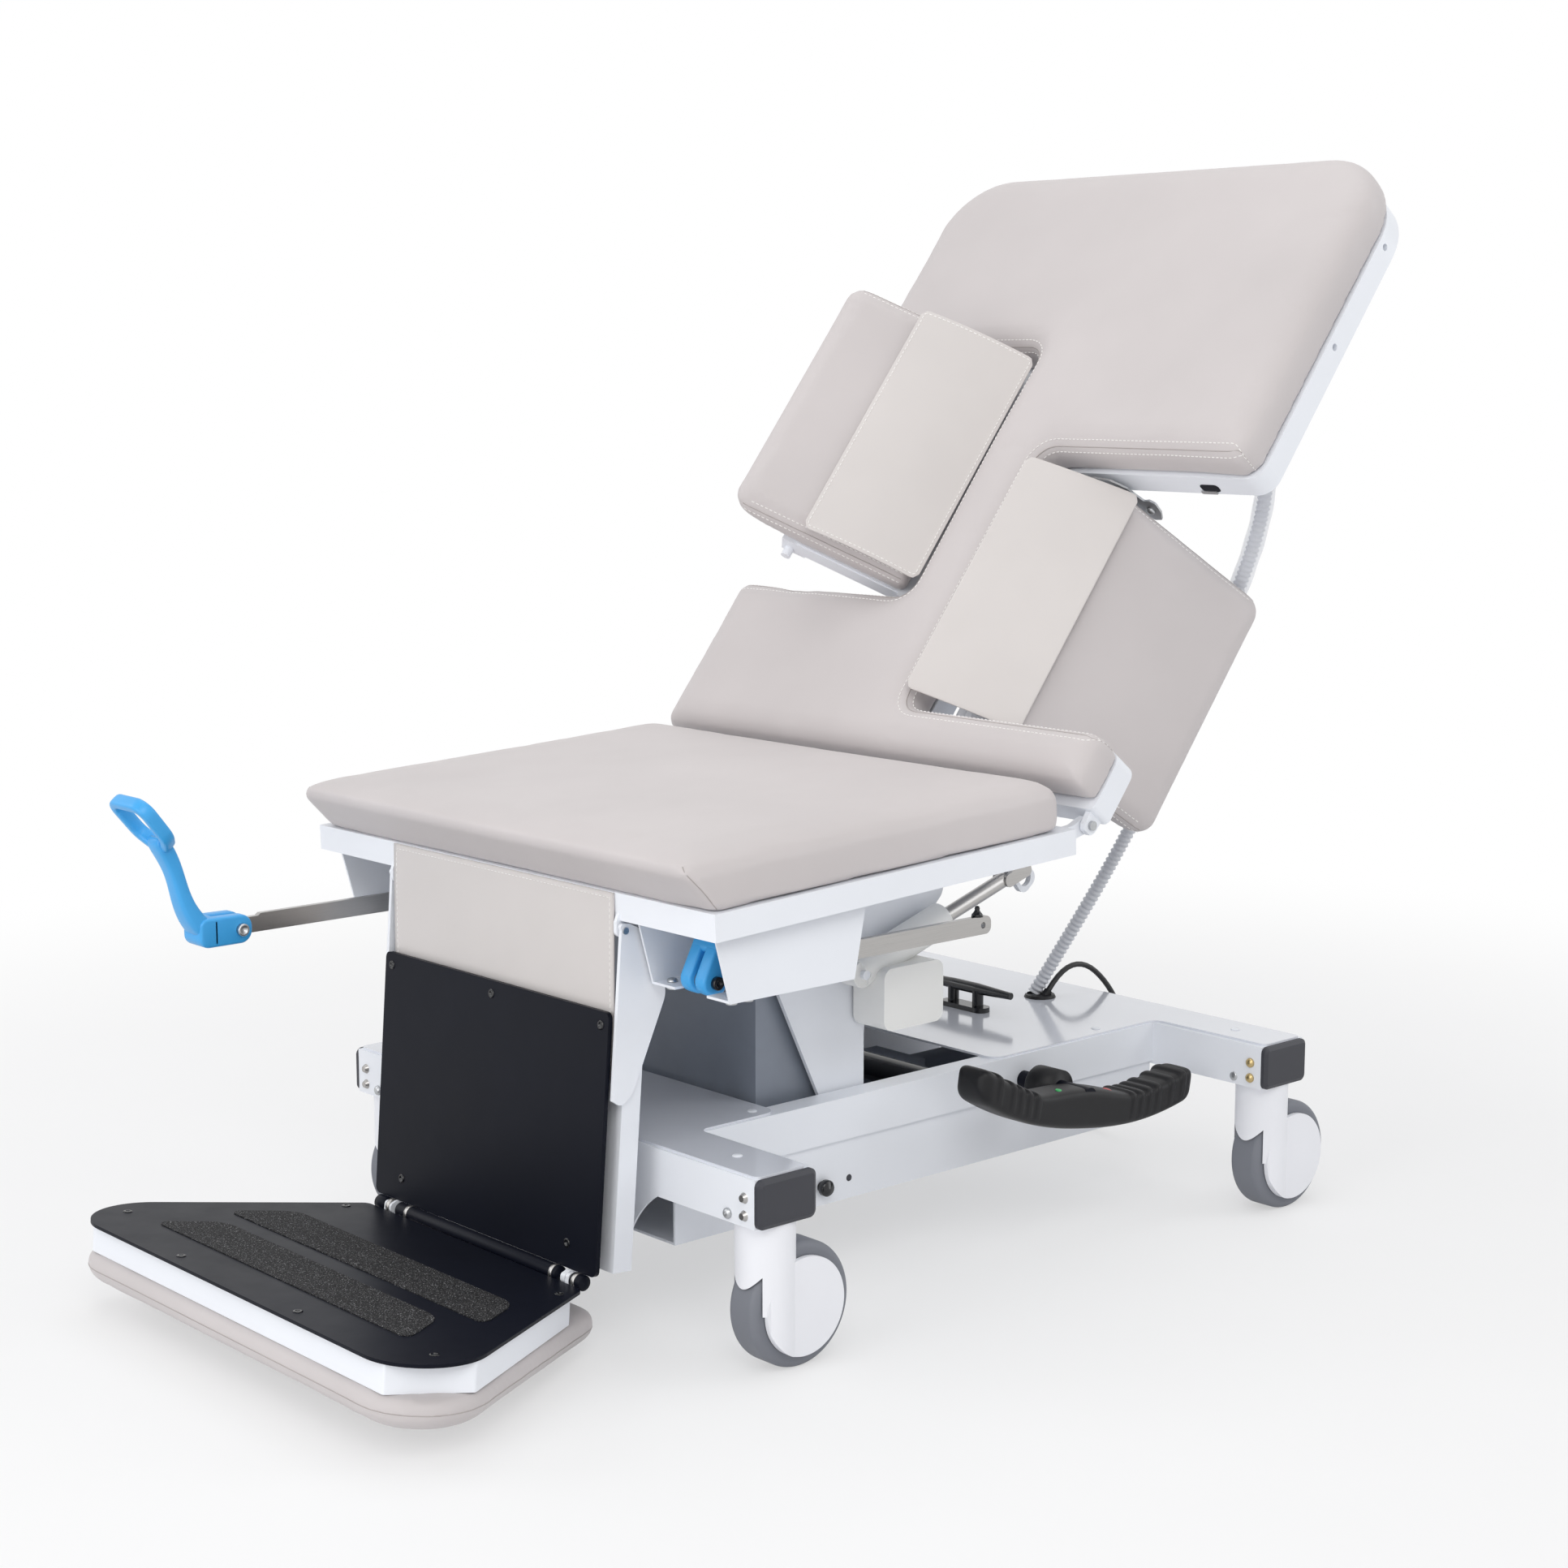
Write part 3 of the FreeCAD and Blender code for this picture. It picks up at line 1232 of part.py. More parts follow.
# Coil: quarter-turn biarcs, then a straight tail to the plug
def coil_edges():
    quarters = 4 * (2 * coil_turns + 1) - 2
    edges = []
    heading = coil_frame()[2]
    for i in range(quarters):
        following = coil_heading((i + 1) / 4)
        edges += biarc(coil_spot(i / 4), heading, coil_spot((i + 1) / 4), following)
        heading = following
    end = coil_spot(quarters / 4)
    edges.append(Part.LineSegment(end, end + heading * coil_tail).toShape())
    return edges, end + heading * coil_tail, heading


def mains_coil():
    edges = coil_edges()[0]
    spots = []
    along = 0.0
    for edge in edges:
        pieces = 12
        for k in range(pieces):
            share = edge.FirstParameter + (edge.LastParameter - edge.FirstParameter) * k / pieces
            spots.append((along + edge.Length * k / pieces, edge.valueAt(share)))
        along += edge.Length
    least = min((a - b).Length for i, (s, a) in enumerate(spots) for t, b in spots[i + 1:]
                if t - s > 6 * cord_dia)
    print("coil least gap to itself", round(least - cord_dia, 2), "mm")
    return tube_along(edges, cord_dia)


# Plug: a rounded body lying on the floor at the end of the tail, with three pins
def mains_plug():
    end, heading = coil_edges()[1:]
    level = Vector(heading.x, heading.y, 0).normalize()
    aside = Vector(-level.y, level.x, 0)
    root = Vector(end.x, end.y, max(end.z, plug_dia / 2))
    body = Part.makeCone(plug_dia / 2 - 5, plug_dia / 2, plug_length / 3, root, level)
    face = root + level * plug_length
    body = body.fuse(rod(root + level * (plug_length / 3), face, plug_dia))
    pieces = [body.removeSplitter()]
    for step in (-9.5, 0.0, 9.5):
        pieces.append(rod(face - level, face + level * 18, 4.8).translated(aside * step))
    return joined(pieces)


os.makedirs("parts", exist_ok=True)
save("base_chassis", base_chassis())
save("front_cover", front_cover())
save("rear_cover", rear_cover())
save("bumper_caps", bumper_caps())
save("base_bolts", base_bolts())
save("cord_cleat", cord_cleat())
save("hose_grommet", hose_grommet())
save("cross_tube", cross_tube())
save("lift_motor", lift_motor())
save("lift_column_outer", column_stage(0, outer_stage))
save("lift_column_mid", column_stage(1, mid_stage))
save("lift_carriage", lift_carriage())
save("lock_pedal", lock_pedal())
save("pedal_shaft", pedal_shaft())
castors = {
    "front_near": (-castor_x, -castor_y), "front_far": (-castor_x, castor_y),
    "rear_near": (castor_x, -castor_y), "rear_far": (castor_x, castor_y),
}
for corner, (x, y) in castors.items():
    shift = Placement(Vector(x, y, 0), Rotation())
    save("castor_housing_" + corner, placed(castor_housing(), shift))
    save("castor_tyre_" + corner, placed(castor_tyre(), shift))
    save("castor_hub_" + corner, placed(castor_hub(), shift))
save("seat_frame", seat_frame())
save("pivot_pins", pivot_pins())
save("seat_cushion", seat_cushion())
save("seat_bolts", seat_bolts())
save("front_flap", front_flap())
save("pocket_near", pocket(-1))
save("pocket_far", pocket(1))
save("stirrup_bar_near", stirrup_bar(-1, near_pivot_x))
save("stirrup_bar_far", stirrup_bar(1, far_pivot_x))
save("stirrup_loop_near", placed(stirrup_loop(), loop_place(-1, near_pivot_x, near_loop_fold)))
save("stirrup_loop_far", placed(stirrup_loop(), loop_place(1, far_pivot_x, 0.0)))
save("leg_panel", leg_panel())
save("leg_frame", leg_frame())
save("foot_plate", foot_plate())
save("foot_frame", foot_frame())
save("foot_cushion", foot_cushion())
save("foot_grips", foot_grips())
save("back_frame", back_frame())
save("back_board", back_board())
save("back_cushion", back_cushion())
save("back_actuator", back_actuator())
save("actuator_rod", actuator_rod())
save("pad_hinge_rods", pad_hinge_rods())
for side, name in ((-1, "near"), (1, "far")):
    save("pad_tray_" + name, pad_tray(side))
    save("pad_cushion_" + name, pad_cushion(side))
save("pad_flap_near", pad_flap(-1, near_flap_inner, near_flap_outer, near_flap_bow))
save("pad_flap_far", pad_flap(1, far_flap_inner, far_flap_outer, far_flap_bow))
save("lower_hose", lower_hose())
save("upper_hose", upper_hose())
save("mains_cord", mains_cord())
save("mains_coil", mains_coil())
save("mains_plug", mains_plug())
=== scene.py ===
import json
import math

import bpy
import numpy as np
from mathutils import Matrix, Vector
from mathutils.bvhtree import BVHTree


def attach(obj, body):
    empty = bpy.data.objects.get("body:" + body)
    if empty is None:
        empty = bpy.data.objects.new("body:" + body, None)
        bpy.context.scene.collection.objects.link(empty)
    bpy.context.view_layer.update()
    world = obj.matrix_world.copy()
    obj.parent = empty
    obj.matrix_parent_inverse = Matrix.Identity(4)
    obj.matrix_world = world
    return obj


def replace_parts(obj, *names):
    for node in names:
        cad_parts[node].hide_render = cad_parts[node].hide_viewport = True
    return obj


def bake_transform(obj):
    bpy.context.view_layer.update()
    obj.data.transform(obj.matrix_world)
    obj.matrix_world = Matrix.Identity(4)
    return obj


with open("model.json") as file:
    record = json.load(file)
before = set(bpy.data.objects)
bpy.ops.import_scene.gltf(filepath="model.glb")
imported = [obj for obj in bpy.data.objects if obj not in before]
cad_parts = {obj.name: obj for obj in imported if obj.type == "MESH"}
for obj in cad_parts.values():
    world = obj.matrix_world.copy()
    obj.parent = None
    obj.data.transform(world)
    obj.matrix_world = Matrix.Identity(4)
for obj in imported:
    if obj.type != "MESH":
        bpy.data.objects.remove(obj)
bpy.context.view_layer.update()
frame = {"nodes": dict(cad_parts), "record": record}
nodes = frame["nodes"]
scene = bpy.context.scene
print("frame loaded,", len(nodes), "nodes")


# places: every section of the table has its own frame, turned about the side axis
def sectionFrame(origin, degrees):
    c, s = math.cos(math.radians(degrees)), math.sin(math.radians(degrees))
    return np.array(origin), np.array([[c, 0, s], [0, 1, 0], [-s, 0, c]])


seatFrame = sectionFrame((-0.548, 0, 0.5196), 2.8)
legFrame = sectionFrame((-0.545, 0, 0.508), -4.46)
backFrame = sectionFrame((0.0699, 0, 0.5799), 52.0)


def intoWorld(section, points):
    return section[0] + np.asarray(points, float) @ section[1]


# side pads by side, near -1 and far 1: turn from flat, reach along the back, and the hinge's place
padTurn = {-1: 72.4, 1: 42.0}
padSpan = {-1: (0.1105, 0.5055), 1: (0.2825, 0.6775)}
padHinge = (0.097, 0.002)


# pad point: along the back, outwards from the hinge, up from the backing, then turned about the hinge
def padWorld(side, points):
    p = np.array(points, float)
    t = math.radians(padTurn[side])
    y, z = side * p[..., 1], p[..., 2]
    turned = np.stack([p[..., 0], side * padHinge[0] + y * math.cos(t) - z * math.sin(t),
                       padHinge[1] + y * math.sin(t) + z * math.cos(t)], -1)
    return intoWorld(backFrame, turned)


# mesh makers: whole arrays of points and quads go straight into a mesh
def makeMesh(name, points, faces, smooth=True):
    mesh = bpy.data.meshes.new(name)
    mesh.from_pydata(np.asarray(points, float).reshape(-1, 3).tolist(), [], [list(f) for f in faces])
    if smooth:
        mesh.polygons.foreach_set("use_smooth", np.ones(len(mesh.polygons), bool))
    mesh.update()
    return mesh


# a piece of the table, with its finish
def makePiece(name, points, faces, finish, body=None, smooth=True):
    piece = bpy.data.objects.new(name, makeMesh(name, points, faces, smooth))
    scene.collection.objects.link(piece)
    piece.data.materials.append(finishes[finish])
    if body:
        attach(piece, body)
    return piece


# quads of a grid of rows by columns, closed around its columns if asked
def gridFaces(rows, columns, around=False):
    last = columns if around else columns - 1
    i, j = np.meshgrid(np.arange(rows - 1), np.arange(last), indexing="ij")
    k = (j + 1) % columns
    quads = np.stack([i * columns + j, i * columns + k, (i + 1) * columns + k, (i + 1) * columns + j], -1)
    return quads.reshape(-1, 4).tolist()


# a grid that is closed both ways, as on a ring
def ringFaces(rows, columns):
    j = np.arange(columns)
    k = (j + 1) % columns
    last = (rows - 1) * columns
    return gridFaces(rows, columns, True) + np.stack([last + j, last + k, k, j], -1).tolist()


def flipped(faces):
    return [face[::-1] for face in faces]


# faces of one shell for every copy of it, each copy a step further on in the points
def copyFaces(faces, step, copies):
    return [[v + k * step for v in face] for k in range(copies) for face in faces]


arcSteps = 9  # points on a round corner; the middle one is its arcSteps // 2


# outline of a polygon with round corners: each corner is an arc that touches its two sides, after an inset
def roundOutline(corners, radii, inset=0.0, steps=arcSteps):
    p = np.array(corners, float)
    r = np.array(radii, float)
    ahead = np.roll(p, -1, 0) - p
    after = ahead / np.linalg.norm(ahead, axis=1, keepdims=True)
    before = np.roll(after, 1, 0)
    across = before[:, 0] * after[:, 1] - before[:, 1] * after[:, 0]
    along = (before * after).sum(1)
    turn = np.arctan2(across, along)
    normal = np.stack([-before[:, 1] - after[:, 1], before[:, 0] + after[:, 0]], -1)
    corner = p + normal * (inset / (1 + along))[:, None]
    radius = np.where(r > 0, np.maximum(r - np.sign(turn) * inset, 0.0005), 0.0)
    cut = radius * np.tan(np.abs(turn) / 2)
    start = corner - before * cut[:, None]
    heading = np.arctan2(before[:, 1], before[:, 0])
    angle = heading[:, None] + turn[:, None] * np.linspace(0, 1, steps)
    side = np.sign(turn)[:, None]
    x = start[:, 0:1] + radius[:, None] * side * (np.sin(angle) - np.sin(heading)[:, None])
    y = start[:, 1:2] - radius[:, None] * side * (np.cos(angle) - np.cos(heading)[:, None])
    return np.stack([x, y], -1).reshape(-1, 2)


# closed shell through rings of equal length, with one face over each end
def shellFaces(rings, count):
    ends = [list(range(count))[::-1], list(range((rings - 1) * count, rings * count))]
    return gridFaces(rings, count, True) + ends


# an outline in a plane, lifted to one height
def atHeight(outline, height):
    return np.column_stack([outline, np.full(len(outline), height)])


# section of a rounded box: cosine and sine around it, each drawn out by a power
def boxSection(count, power):
    angle = np.linspace(0, 2 * np.pi, count, endpoint=False)
    c, s = np.cos(angle), np.sin(angle)
    return np.sign(c) * np.abs(c) ** power, np.sign(s) * np.abs(s) ** power


def unit(vector):
    return np.array(vector, float) / np.linalg.norm(vector)


# camera: measured place, lens and angle of the photograph
cameraFacts = {"place": (-2.4358, -2.6151, 1.1425), "yaw": 0.839903, "pitch": 0.152152, "lens": 62.38, "film": 36.0,
               "far": 60.0}
cameraData = bpy.data.cameras.new("studioCamera")
cameraData.sensor_width = cameraFacts["film"]
cameraData.lens = cameraFacts["lens"]
cameraData.clip_end = cameraFacts["far"]
camera = bpy.data.objects.new("studioCamera", cameraData)
scene.collection.objects.link(camera)
camera.location = cameraFacts["place"]
aim = Vector((math.cos(cameraFacts["yaw"]) * math.cos(cameraFacts["pitch"]),
              math.sin(cameraFacts["yaw"]) * math.cos(cameraFacts["pitch"]), -math.sin(cameraFacts["pitch"])))
camera.rotation_euler = aim.to_track_quat("-Z", "Y").to_euler()
scene.camera = camera
print("camera placed")


# materials: shared node helpers
def srgb(r, g, b):
    c = np.array([r, g, b]) / 255.0
    linear = np.where(c <= 0.04045, c / 12.92, ((c + 0.055) / 1.055) ** 2.4)
    return (*linear.tolist(), 1.0)


def startMaterial(name, roughness, metallic=0.0, coat=0.0, sheen=0.0, specular=0.5):
    material = bpy.data.materials.new(name)
    material.use_nodes = True
    tree = material.node_tree
    shader = tree.nodes["Principled BSDF"]
    shader.inputs["Roughness"].default_value = roughness
    shader.inputs["Metallic"].default_value = metallic
    shader.inputs["Coat Weight"].default_value = coat
    shader.inputs["Coat Roughness"].default_value = 0.12
    shader.inputs["Sheen Weight"].default_value = sheen
    shader.inputs["Specular IOR Level"].default_value = specular
    return material, tree, shader


def addNode(tree, kind, **values):
    node = tree.nodes.new(kind)
    for key, value in values.items():
        if key in node.inputs:
            node.inputs[key].default_value = value
        else:
            setattr(node, key, value)
    return node


def objectPlace(tree, scale=(1, 1, 1)):
    place = addNode(tree, "ShaderNodeTexCoord")
    mapping = addNode(tree, "ShaderNodeMapping")
    mapping.inputs["Scale"].default_value = scale
    tree.links.new(place.outputs["Object"], mapping.inputs["Vector"])
    return mapping.outputs["Vector"]


def noiseAt(tree, vector, scale, detail=3.0, rough=0.55):
    noise = addNode(tree, "ShaderNodeTexNoise", Scale=scale, Detail=detail, Roughness=rough)
    tree.links.new(vector, noise.inputs["Vector"])
    return noise.outputs["Fac"]


def ramp(tree, factor, stops):
    node = addNode(tree, "ShaderNodeValToRGB")
    tree.links.new(factor, node.inputs["Fac"])
    elements = node.color_ramp.elements
    for i, (place, colour) in enumerate(stops):
        element = elements[i] if i < 2 else elements.new(place)
        element.position = place
        element.color = colour
    return node.outputs["Color"]


def spread(tree, value, low, high):
    node = addNode(tree, "ShaderNodeMapRange")
    node.inputs["To Min"].default_value = low
    node.inputs["To Max"].default_value = high
    tree.links.new(value, node.inputs["Value"])
    return node.outputs["Result"]


def addBump(tree, shader, height, strength, distance, below=None):
    bump = addNode(tree, "ShaderNodeBump", Strength=strength, Distance=distance)
    tree.links.new(height, bump.inputs["Height"])
    if below:
        tree.links.new(below, bump.inputs["Normal"])
    tree.links.new(bump.outputs["Normal"], shader.inputs["Normal"])
    return bump.outputs["Normal"]


# one step of arithmetic on sockets or numbers
def mathNode(tree, operation, *values):
    node = addNode(tree, "ShaderNodeMath", operation=operation)
    for socket, value in zip(node.inputs, values):
        if isinstance(value, float):
            socket.default_value = value
        else:
            tree.links.new(value, socket)
    return node.outputs[0]


# 1 for rays that see the surroundings straight, in a mirror or through glass
def seenRays(tree):
    path = addNode(tree, "ShaderNodeLightPath")
    straight = mathNode(tree, "MAXIMUM", path.outputs["Is Camera Ray"], path.outputs["Is Glossy Ray"])
    return mathNode(tree, "MAXIMUM", straight, path.outputs["Is Transmission Ray"])


def shade(colour, factor):
    return tuple(min(1.0, c * factor) for c in colour[:3]) + (1.0,)


# a coat or plastic: cloudy tone, cloudy gloss, fine skin texture
def skinMaterial(name, colour, roughness, cloud=0.05, skin=900.0, skinDepth=0.00004, metallic=0.0, coat=0.0,
                 strength=0.35, specular=0.5):
    material, tree, shader = startMaterial(name, roughness, metallic, coat, 0.0, specular)
    here = objectPlace(tree)
    tone = noiseAt(tree, here, 7.0, 4.0)
    tree.links.new(ramp(tree, tone, [(0.3, shade(colour, 1 - cloud)), (0.7, shade(colour, 1 + cloud * 0.5))]),
                   shader.inputs["Base Color"])
    gloss = noiseAt(tree, here, 23.0, 5.0)
    tree.links.new(spread(tree, gloss, max(0.02, roughness - 0.06), min(1.0, roughness + 0.06)),
                   shader.inputs["Roughness"])
    addBump(tree, shader, noiseAt(tree, here, skin, 2.0), strength, skinDepth)
    return material


# upholstery vinyl: fine pebbled grain, a slow tone drift, soft handling marks
def vinylMaterial(name, colour, grain=1500.0, depth=0.00012):
    material, tree, shader = startMaterial(name, 0.52, sheen=0.12, specular=0.35)
    shader.inputs["Sheen Roughness"].default_value = 0.5
    here = objectPlace(tree)
    drift = noiseAt(tree, here, 3.2, 3.0)
    tree.links.new(ramp(tree, drift, [(0.3, shade(colour, 0.95)), (0.7, shade(colour, 1.03))]),
                   shader.inputs["Base Color"])
    tree.links.new(spread(tree, noiseAt(tree, here, 14.0, 5.0), 0.44, 0.58), shader.inputs["Roughness"])
    cells = addNode(tree, "ShaderNodeTexVoronoi", Scale=grain)
    cells.feature = "DISTANCE_TO_EDGE"
    tree.links.new(here, cells.inputs["Vector"])
    pebbles = ramp(tree, cells.outputs["Distance"], [(0.0, (0, 0, 0, 1)), (0.35, (1, 1, 1, 1))])
    fine = addBump(tree, shader, pebbles, 0.25, depth)
    addBump(tree, shader, noiseAt(tree, here, 38.0, 4.0), 0.12, 0.0015, fine)
    return material


# drawn metal: long scratches along one axis, with gloss that follows them
def brushedMaterial(name, colour, roughness, stretch, depth=0.00005):
    material, tree, shader = startMaterial(name, roughness, 1.0)
    here = objectPlace(tree, stretch)
    lines = noiseAt(tree, here, 1.0, 6.0, 0.7)
    tree.links.new(ramp(tree, lines, [(0.3, shade(colour, 0.88)), (0.7, shade(colour, 1.08))]),
                   shader.inputs["Base Color"])
    tree.links.new(spread(tree, lines, roughness - 0.1, roughness + 0.12), shader.inputs["Roughness"])
    addBump(tree, shader, lines, 0.3, depth)
    return material


# grip strip: mineral grains in a dark binder
def gripMaterial(name):
    material, tree, shader = startMaterial(name, 0.85, specular=0.25)
    here = objectPlace(tree)
    grains = addNode(tree, "ShaderNodeTexVoronoi", Scale=620.0)
    tree.links.new(here, grains.inputs["Vector"])
    flecks = noiseAt(tree, here, 560.0, 3.0, 0.75)
    stops = [(0.46, srgb(13, 13, 15)), (0.58, srgb(42, 42, 44)), (0.70, srgb(190, 190, 192))]
    tree.links.new(ramp(tree, flecks, stops), shader.inputs["Base Color"])
    tree.links.new(spread(tree, flecks, 0.6, 0.95), shader.inputs["Roughness"])
    addBump(tree, shader, grains.outputs["Distance"], 0.9, 0.0007)
    return material


# sleeve: a pale clear film with shallow creases
def sleeveMaterial(name):
    material, tree, shader = startMaterial(name, 0.22)
    shader.inputs["Alpha"].default_value = 0.22
    here = objectPlace(tree)
    tree.links.new(ramp(tree, noiseAt(tree, here, 30.0), [(0.3, srgb(238, 240, 248)), (0.7, srgb(248, 249, 253))]),
                   shader.inputs["Base Color"])
    addBump(tree, shader, noiseAt(tree, here, 60.0), 0.3, 0.001)
    return material


finishes = {
    "white_coat": skinMaterial("powderCoatWhite", srgb(238, 241, 247), 0.36, 0.02, 700.0),
    "cover_gloss": skinMaterial("coverGlossGrey", srgb(222, 225, 233), 0.11, 0.02, 300.0, 0.00003, coat=0.6),
    "grey_coat": skinMaterial("columnGreyCoat", srgb(126, 132, 144), 0.38, 0.05, 700.0),
    "black_plate": skinMaterial("blackPlateCoat", srgb(13, 16, 27), 0.42, 0.12, 1100.0, 0.00006, specular=0.12),
    "black_gloss": skinMaterial("blackGlossMoulding", srgb(20, 21, 25), 0.16, 0.1, 500.0),
    "black_rubber": skinMaterial("blackRubberMoulding", srgb(19, 19, 22), 0.46, 0.15, 600.0, 0.00012, specular=0.3),
    "charcoal": skinMaterial("charcoalCap", srgb(52, 53, 60), 0.55, 0.08, 1300.0, 0.0001),
    "grip": gripMaterial("mineralGrip"),
    "tyre_grey": skinMaterial("greyTyre", srgb(121, 124, 132), 0.6, 0.06, 800.0, 0.0001),
    "castor_white": skinMaterial("castorWhite", srgb(241, 242, 247), 0.34, 0.02, 900.0),
    "hub_grey": skinMaterial("castorHub", srgb(226, 229, 236), 0.4, 0.03, 900.0),
    "vinyl": vinylMaterial("warmGreyVinyl", srgb(202, 196, 196)),
    "vinyl_pale": vinylMaterial("paleFlapVinyl", srgb(211, 206, 204)),
    "stainless": brushedMaterial("drawnStainless", srgb(180, 178, 176), 0.3, (14, 2600, 2600)),
    "zinc": brushedMaterial("zincPlate", srgb(186, 188, 190), 0.36, (260, 260, 260)),
    "blue": skinMaterial("blueMoulding", srgb(62, 166, 232), 0.36, 0.05, 800.0),
    "off_white": skinMaterial("offWhiteMoulding", srgb(238, 238, 236), 0.42, 0.02, 900.0),
    "hose_grey": skinMaterial("hoseGrey", srgb(214, 216, 221), 0.42, 0.05, 600.0),
    "cord_black": skinMaterial("cordBlack", srgb(27, 27, 29), 0.4, 0.12, 500.0, 0.00008),
    "thread": skinMaterial("paleThread", srgb(247, 245, 243), 0.7, 0.05, 4000.0, 0.0001),
    # seam lines: darker vinyl, painted shade of the seam's crease
    "seam_shade": skinMaterial("seamShadow", srgb(172, 165, 163), 0.7, 0.08, 1500.0, 0.0001),
    "brass": brushedMaterial("brassTone", srgb(198, 176, 128), 0.32, (260, 260, 260)),
    "sign_green": skinMaterial("signGreen", srgb(26, 178, 88), 0.4, 0.05, 900.0),
    "sign_red": skinMaterial("signRed", srgb(186, 52, 52), 0.4, 0.05, 900.0),
    "sleeve": sleeveMaterial("clearSleeve"),
}


# carriage: white plates, with the shroud box between them in a darker grey: its own grey coat, deepened with painted
# shade of the recess between the plates
shroudFacts = {"half": 0.1612, "rear": -0.148, "boxGreyAndShade": srgb(138, 145, 157)}


def carriageMaterial(name):
    f = shroudFacts
    material, tree, shader = startMaterial(name, 0.34)
    here = objectPlace(tree)
    split = addNode(tree, "ShaderNodeSeparateXYZ")
    tree.links.new(here, split.inputs["Vector"])
    # the shroud box between the plates, whose grey carries painted shade
    between = mathNode(tree, "LESS_THAN", mathNode(tree, "ABSOLUTE", split.outputs["Y"]), f["half"])
    inside = mathNode(tree, "MULTIPLY", between, mathNode(tree, "LESS_THAN", split.outputs["X"], f["rear"]))
    cloud = noiseAt(tree, here, 7.0, 4.0)
    white = ramp(tree, cloud, [(0.3, srgb(235, 238, 244)), (0.7, srgb(240, 243, 249))])
    boxGreyAndShade = ramp(tree, cloud, [(0.3, shade(f["boxGreyAndShade"], 0.9)), (0.7, shade(f["boxGreyAndShade"], 1.1))])
    mixed = addNode(tree, "ShaderNodeMix", data_type="RGBA")
    tree.links.new(inside, mixed.inputs["Factor"])
    tree.links.new(white, mixed.inputs[6])
    tree.links.new(boxGreyAndShade, mixed.inputs[7])
    tree.links.new(mixed.outputs[2], shader.inputs["Base Color"])
    tree.links.new(spread(tree, noiseAt(tree, here, 23.0, 5.0), 0.28, 0.4), shader.inputs["Roughness"])
    addBump(tree, shader, noiseAt(tree, here, 700.0, 2.0), 0.35, 0.00004)
    return material


for entry in frame["record"]["subparts"]:
    mesh = nodes[entry["node"]].data
    mesh.materials.clear()
    mesh.materials.append(finishes[entry["material_slot"]])
nodes["lift_carriage"].data.materials[0] = carriageMaterial("carriageCoat")
print("finishes set on the nodes")


# lines: distance run along a line at each of its points, values read at given runs, even spacing
def runAlong(line):
    return np.concatenate([[0], np.cumsum(np.linalg.norm(np.diff(line, axis=0), axis=1))])


def readAlong(s, run, values):
    return np.stack([np.interp(s, run, values[:, k]) for k in range(3)], -1)


def evenLine(line, count):
    run = runAlong(line)
    return readAlong(np.linspace(0, run[-1], count), run, line), run[-1]


# unit circles square to a line, one at each of its points, turned as little as they can
def circlesAlong(line, around):
    along = np.gradient(line, axis=0)
    along /= np.linalg.norm(along, axis=1, keepdims=True)
    first = np.cross(along, np.array([0.0, 0.93, 0.37]))
    first /= np.linalg.norm(first, axis=1, keepdims=True)
    second = np.cross(along, first)
    angle = np.linspace(0, 2 * np.pi, around, endpoint=False)
    return first[:, None] * np.cos(angle)[:, None] + second[:, None] * np.sin(angle)[:, None]


# mains cord: leaves the grommet, goes over the head end and lies in a flat coil behind the base
cordFacts = {"dia": 0.008, "rise": 0.0046, "turns": 4, "outer": 0.062, "pitch": 0.0088, "layer": 0.0087,
             "first": 0.08, "step": 1 / 14, "tail": 0.040, "order": 3, "fine": 5}
cordRoute = [(0.408, -0.015, 0.253), (0.431, -0.017, 0.281), (0.474, -0.024, 0.288), (0.511, -0.036, 0.254),
             (0.537, -0.045, 0.203), (0.549, -0.047, 0.145), (0.553, -0.040, 0.085), (0.564, -0.010, 0.033),
             (0.580, 0.044, 0.009), (0.596, 0.102, 0.0046), (0.604, 0.160, 0.0046)]


# coil's heading, its side and its middle, from where the route ends
def coilPlace():
    end, before = np.array(cordRoute[-1]), np.array(cordRoute[-2])
    heading = (end - before) / np.linalg.norm(end - before)
    left = np.array([-heading[1], heading[0], 0])
    return heading, left, end + left * cordFacts["outer"]


# coil line by turns: in along the floor, up half a turn inside, out again on top
def coilSpots(turns):
    f = cordFacts
    inner = f["outer"] - f["pitch"] * f["turns"]
    top = f["turns"] + 0.5
    radius = np.where(turns <= top, f["outer"] - f["pitch"] * turns,
                      np.where(turns <= top + 0.5, inner - f["pitch"] / 2 + 2 * f["pitch"] * (turns - top),
                               inner + f["pitch"] / 2 + f["pitch"] * (turns - top - 0.5)))
    share = np.clip((turns - f["turns"]) / 0.5, 0, 1)
    heading, left, centre = coilPlace()
    angle = 2 * np.pi * turns
    spots = centre - left * (radius * np.cos(angle))[:, None] + heading * (radius * np.sin(angle))[:, None]
    spots[:, 2] = f["rise"] + f["layer"] * share * share * (3 - 2 * share)
    return spots


def readPoints(mesh):
    points = np.zeros(len(mesh.vertices) * 3)
    mesh.vertices.foreach_get("co", points)
    return points


def splineThrough(name, spots):
    curve = bpy.data.curves.new(name, "CURVE")
    curve.dimensions = "3D"
    spline = curve.splines.new("NURBS")
    spline.points.add(len(spots) - 1)
    spline.points.foreach_set("co", np.hstack([spots, np.ones((len(spots), 1))]).ravel())
    spline.order_u = cordFacts["order"]  # after the points, so that the line is smooth
    spline.use_endpoint_u = True
    spline.resolution_u = cordFacts["fine"]
    piece = bpy.data.objects.new(name, curve)
    scene.collection.objects.link(piece)
    return piece


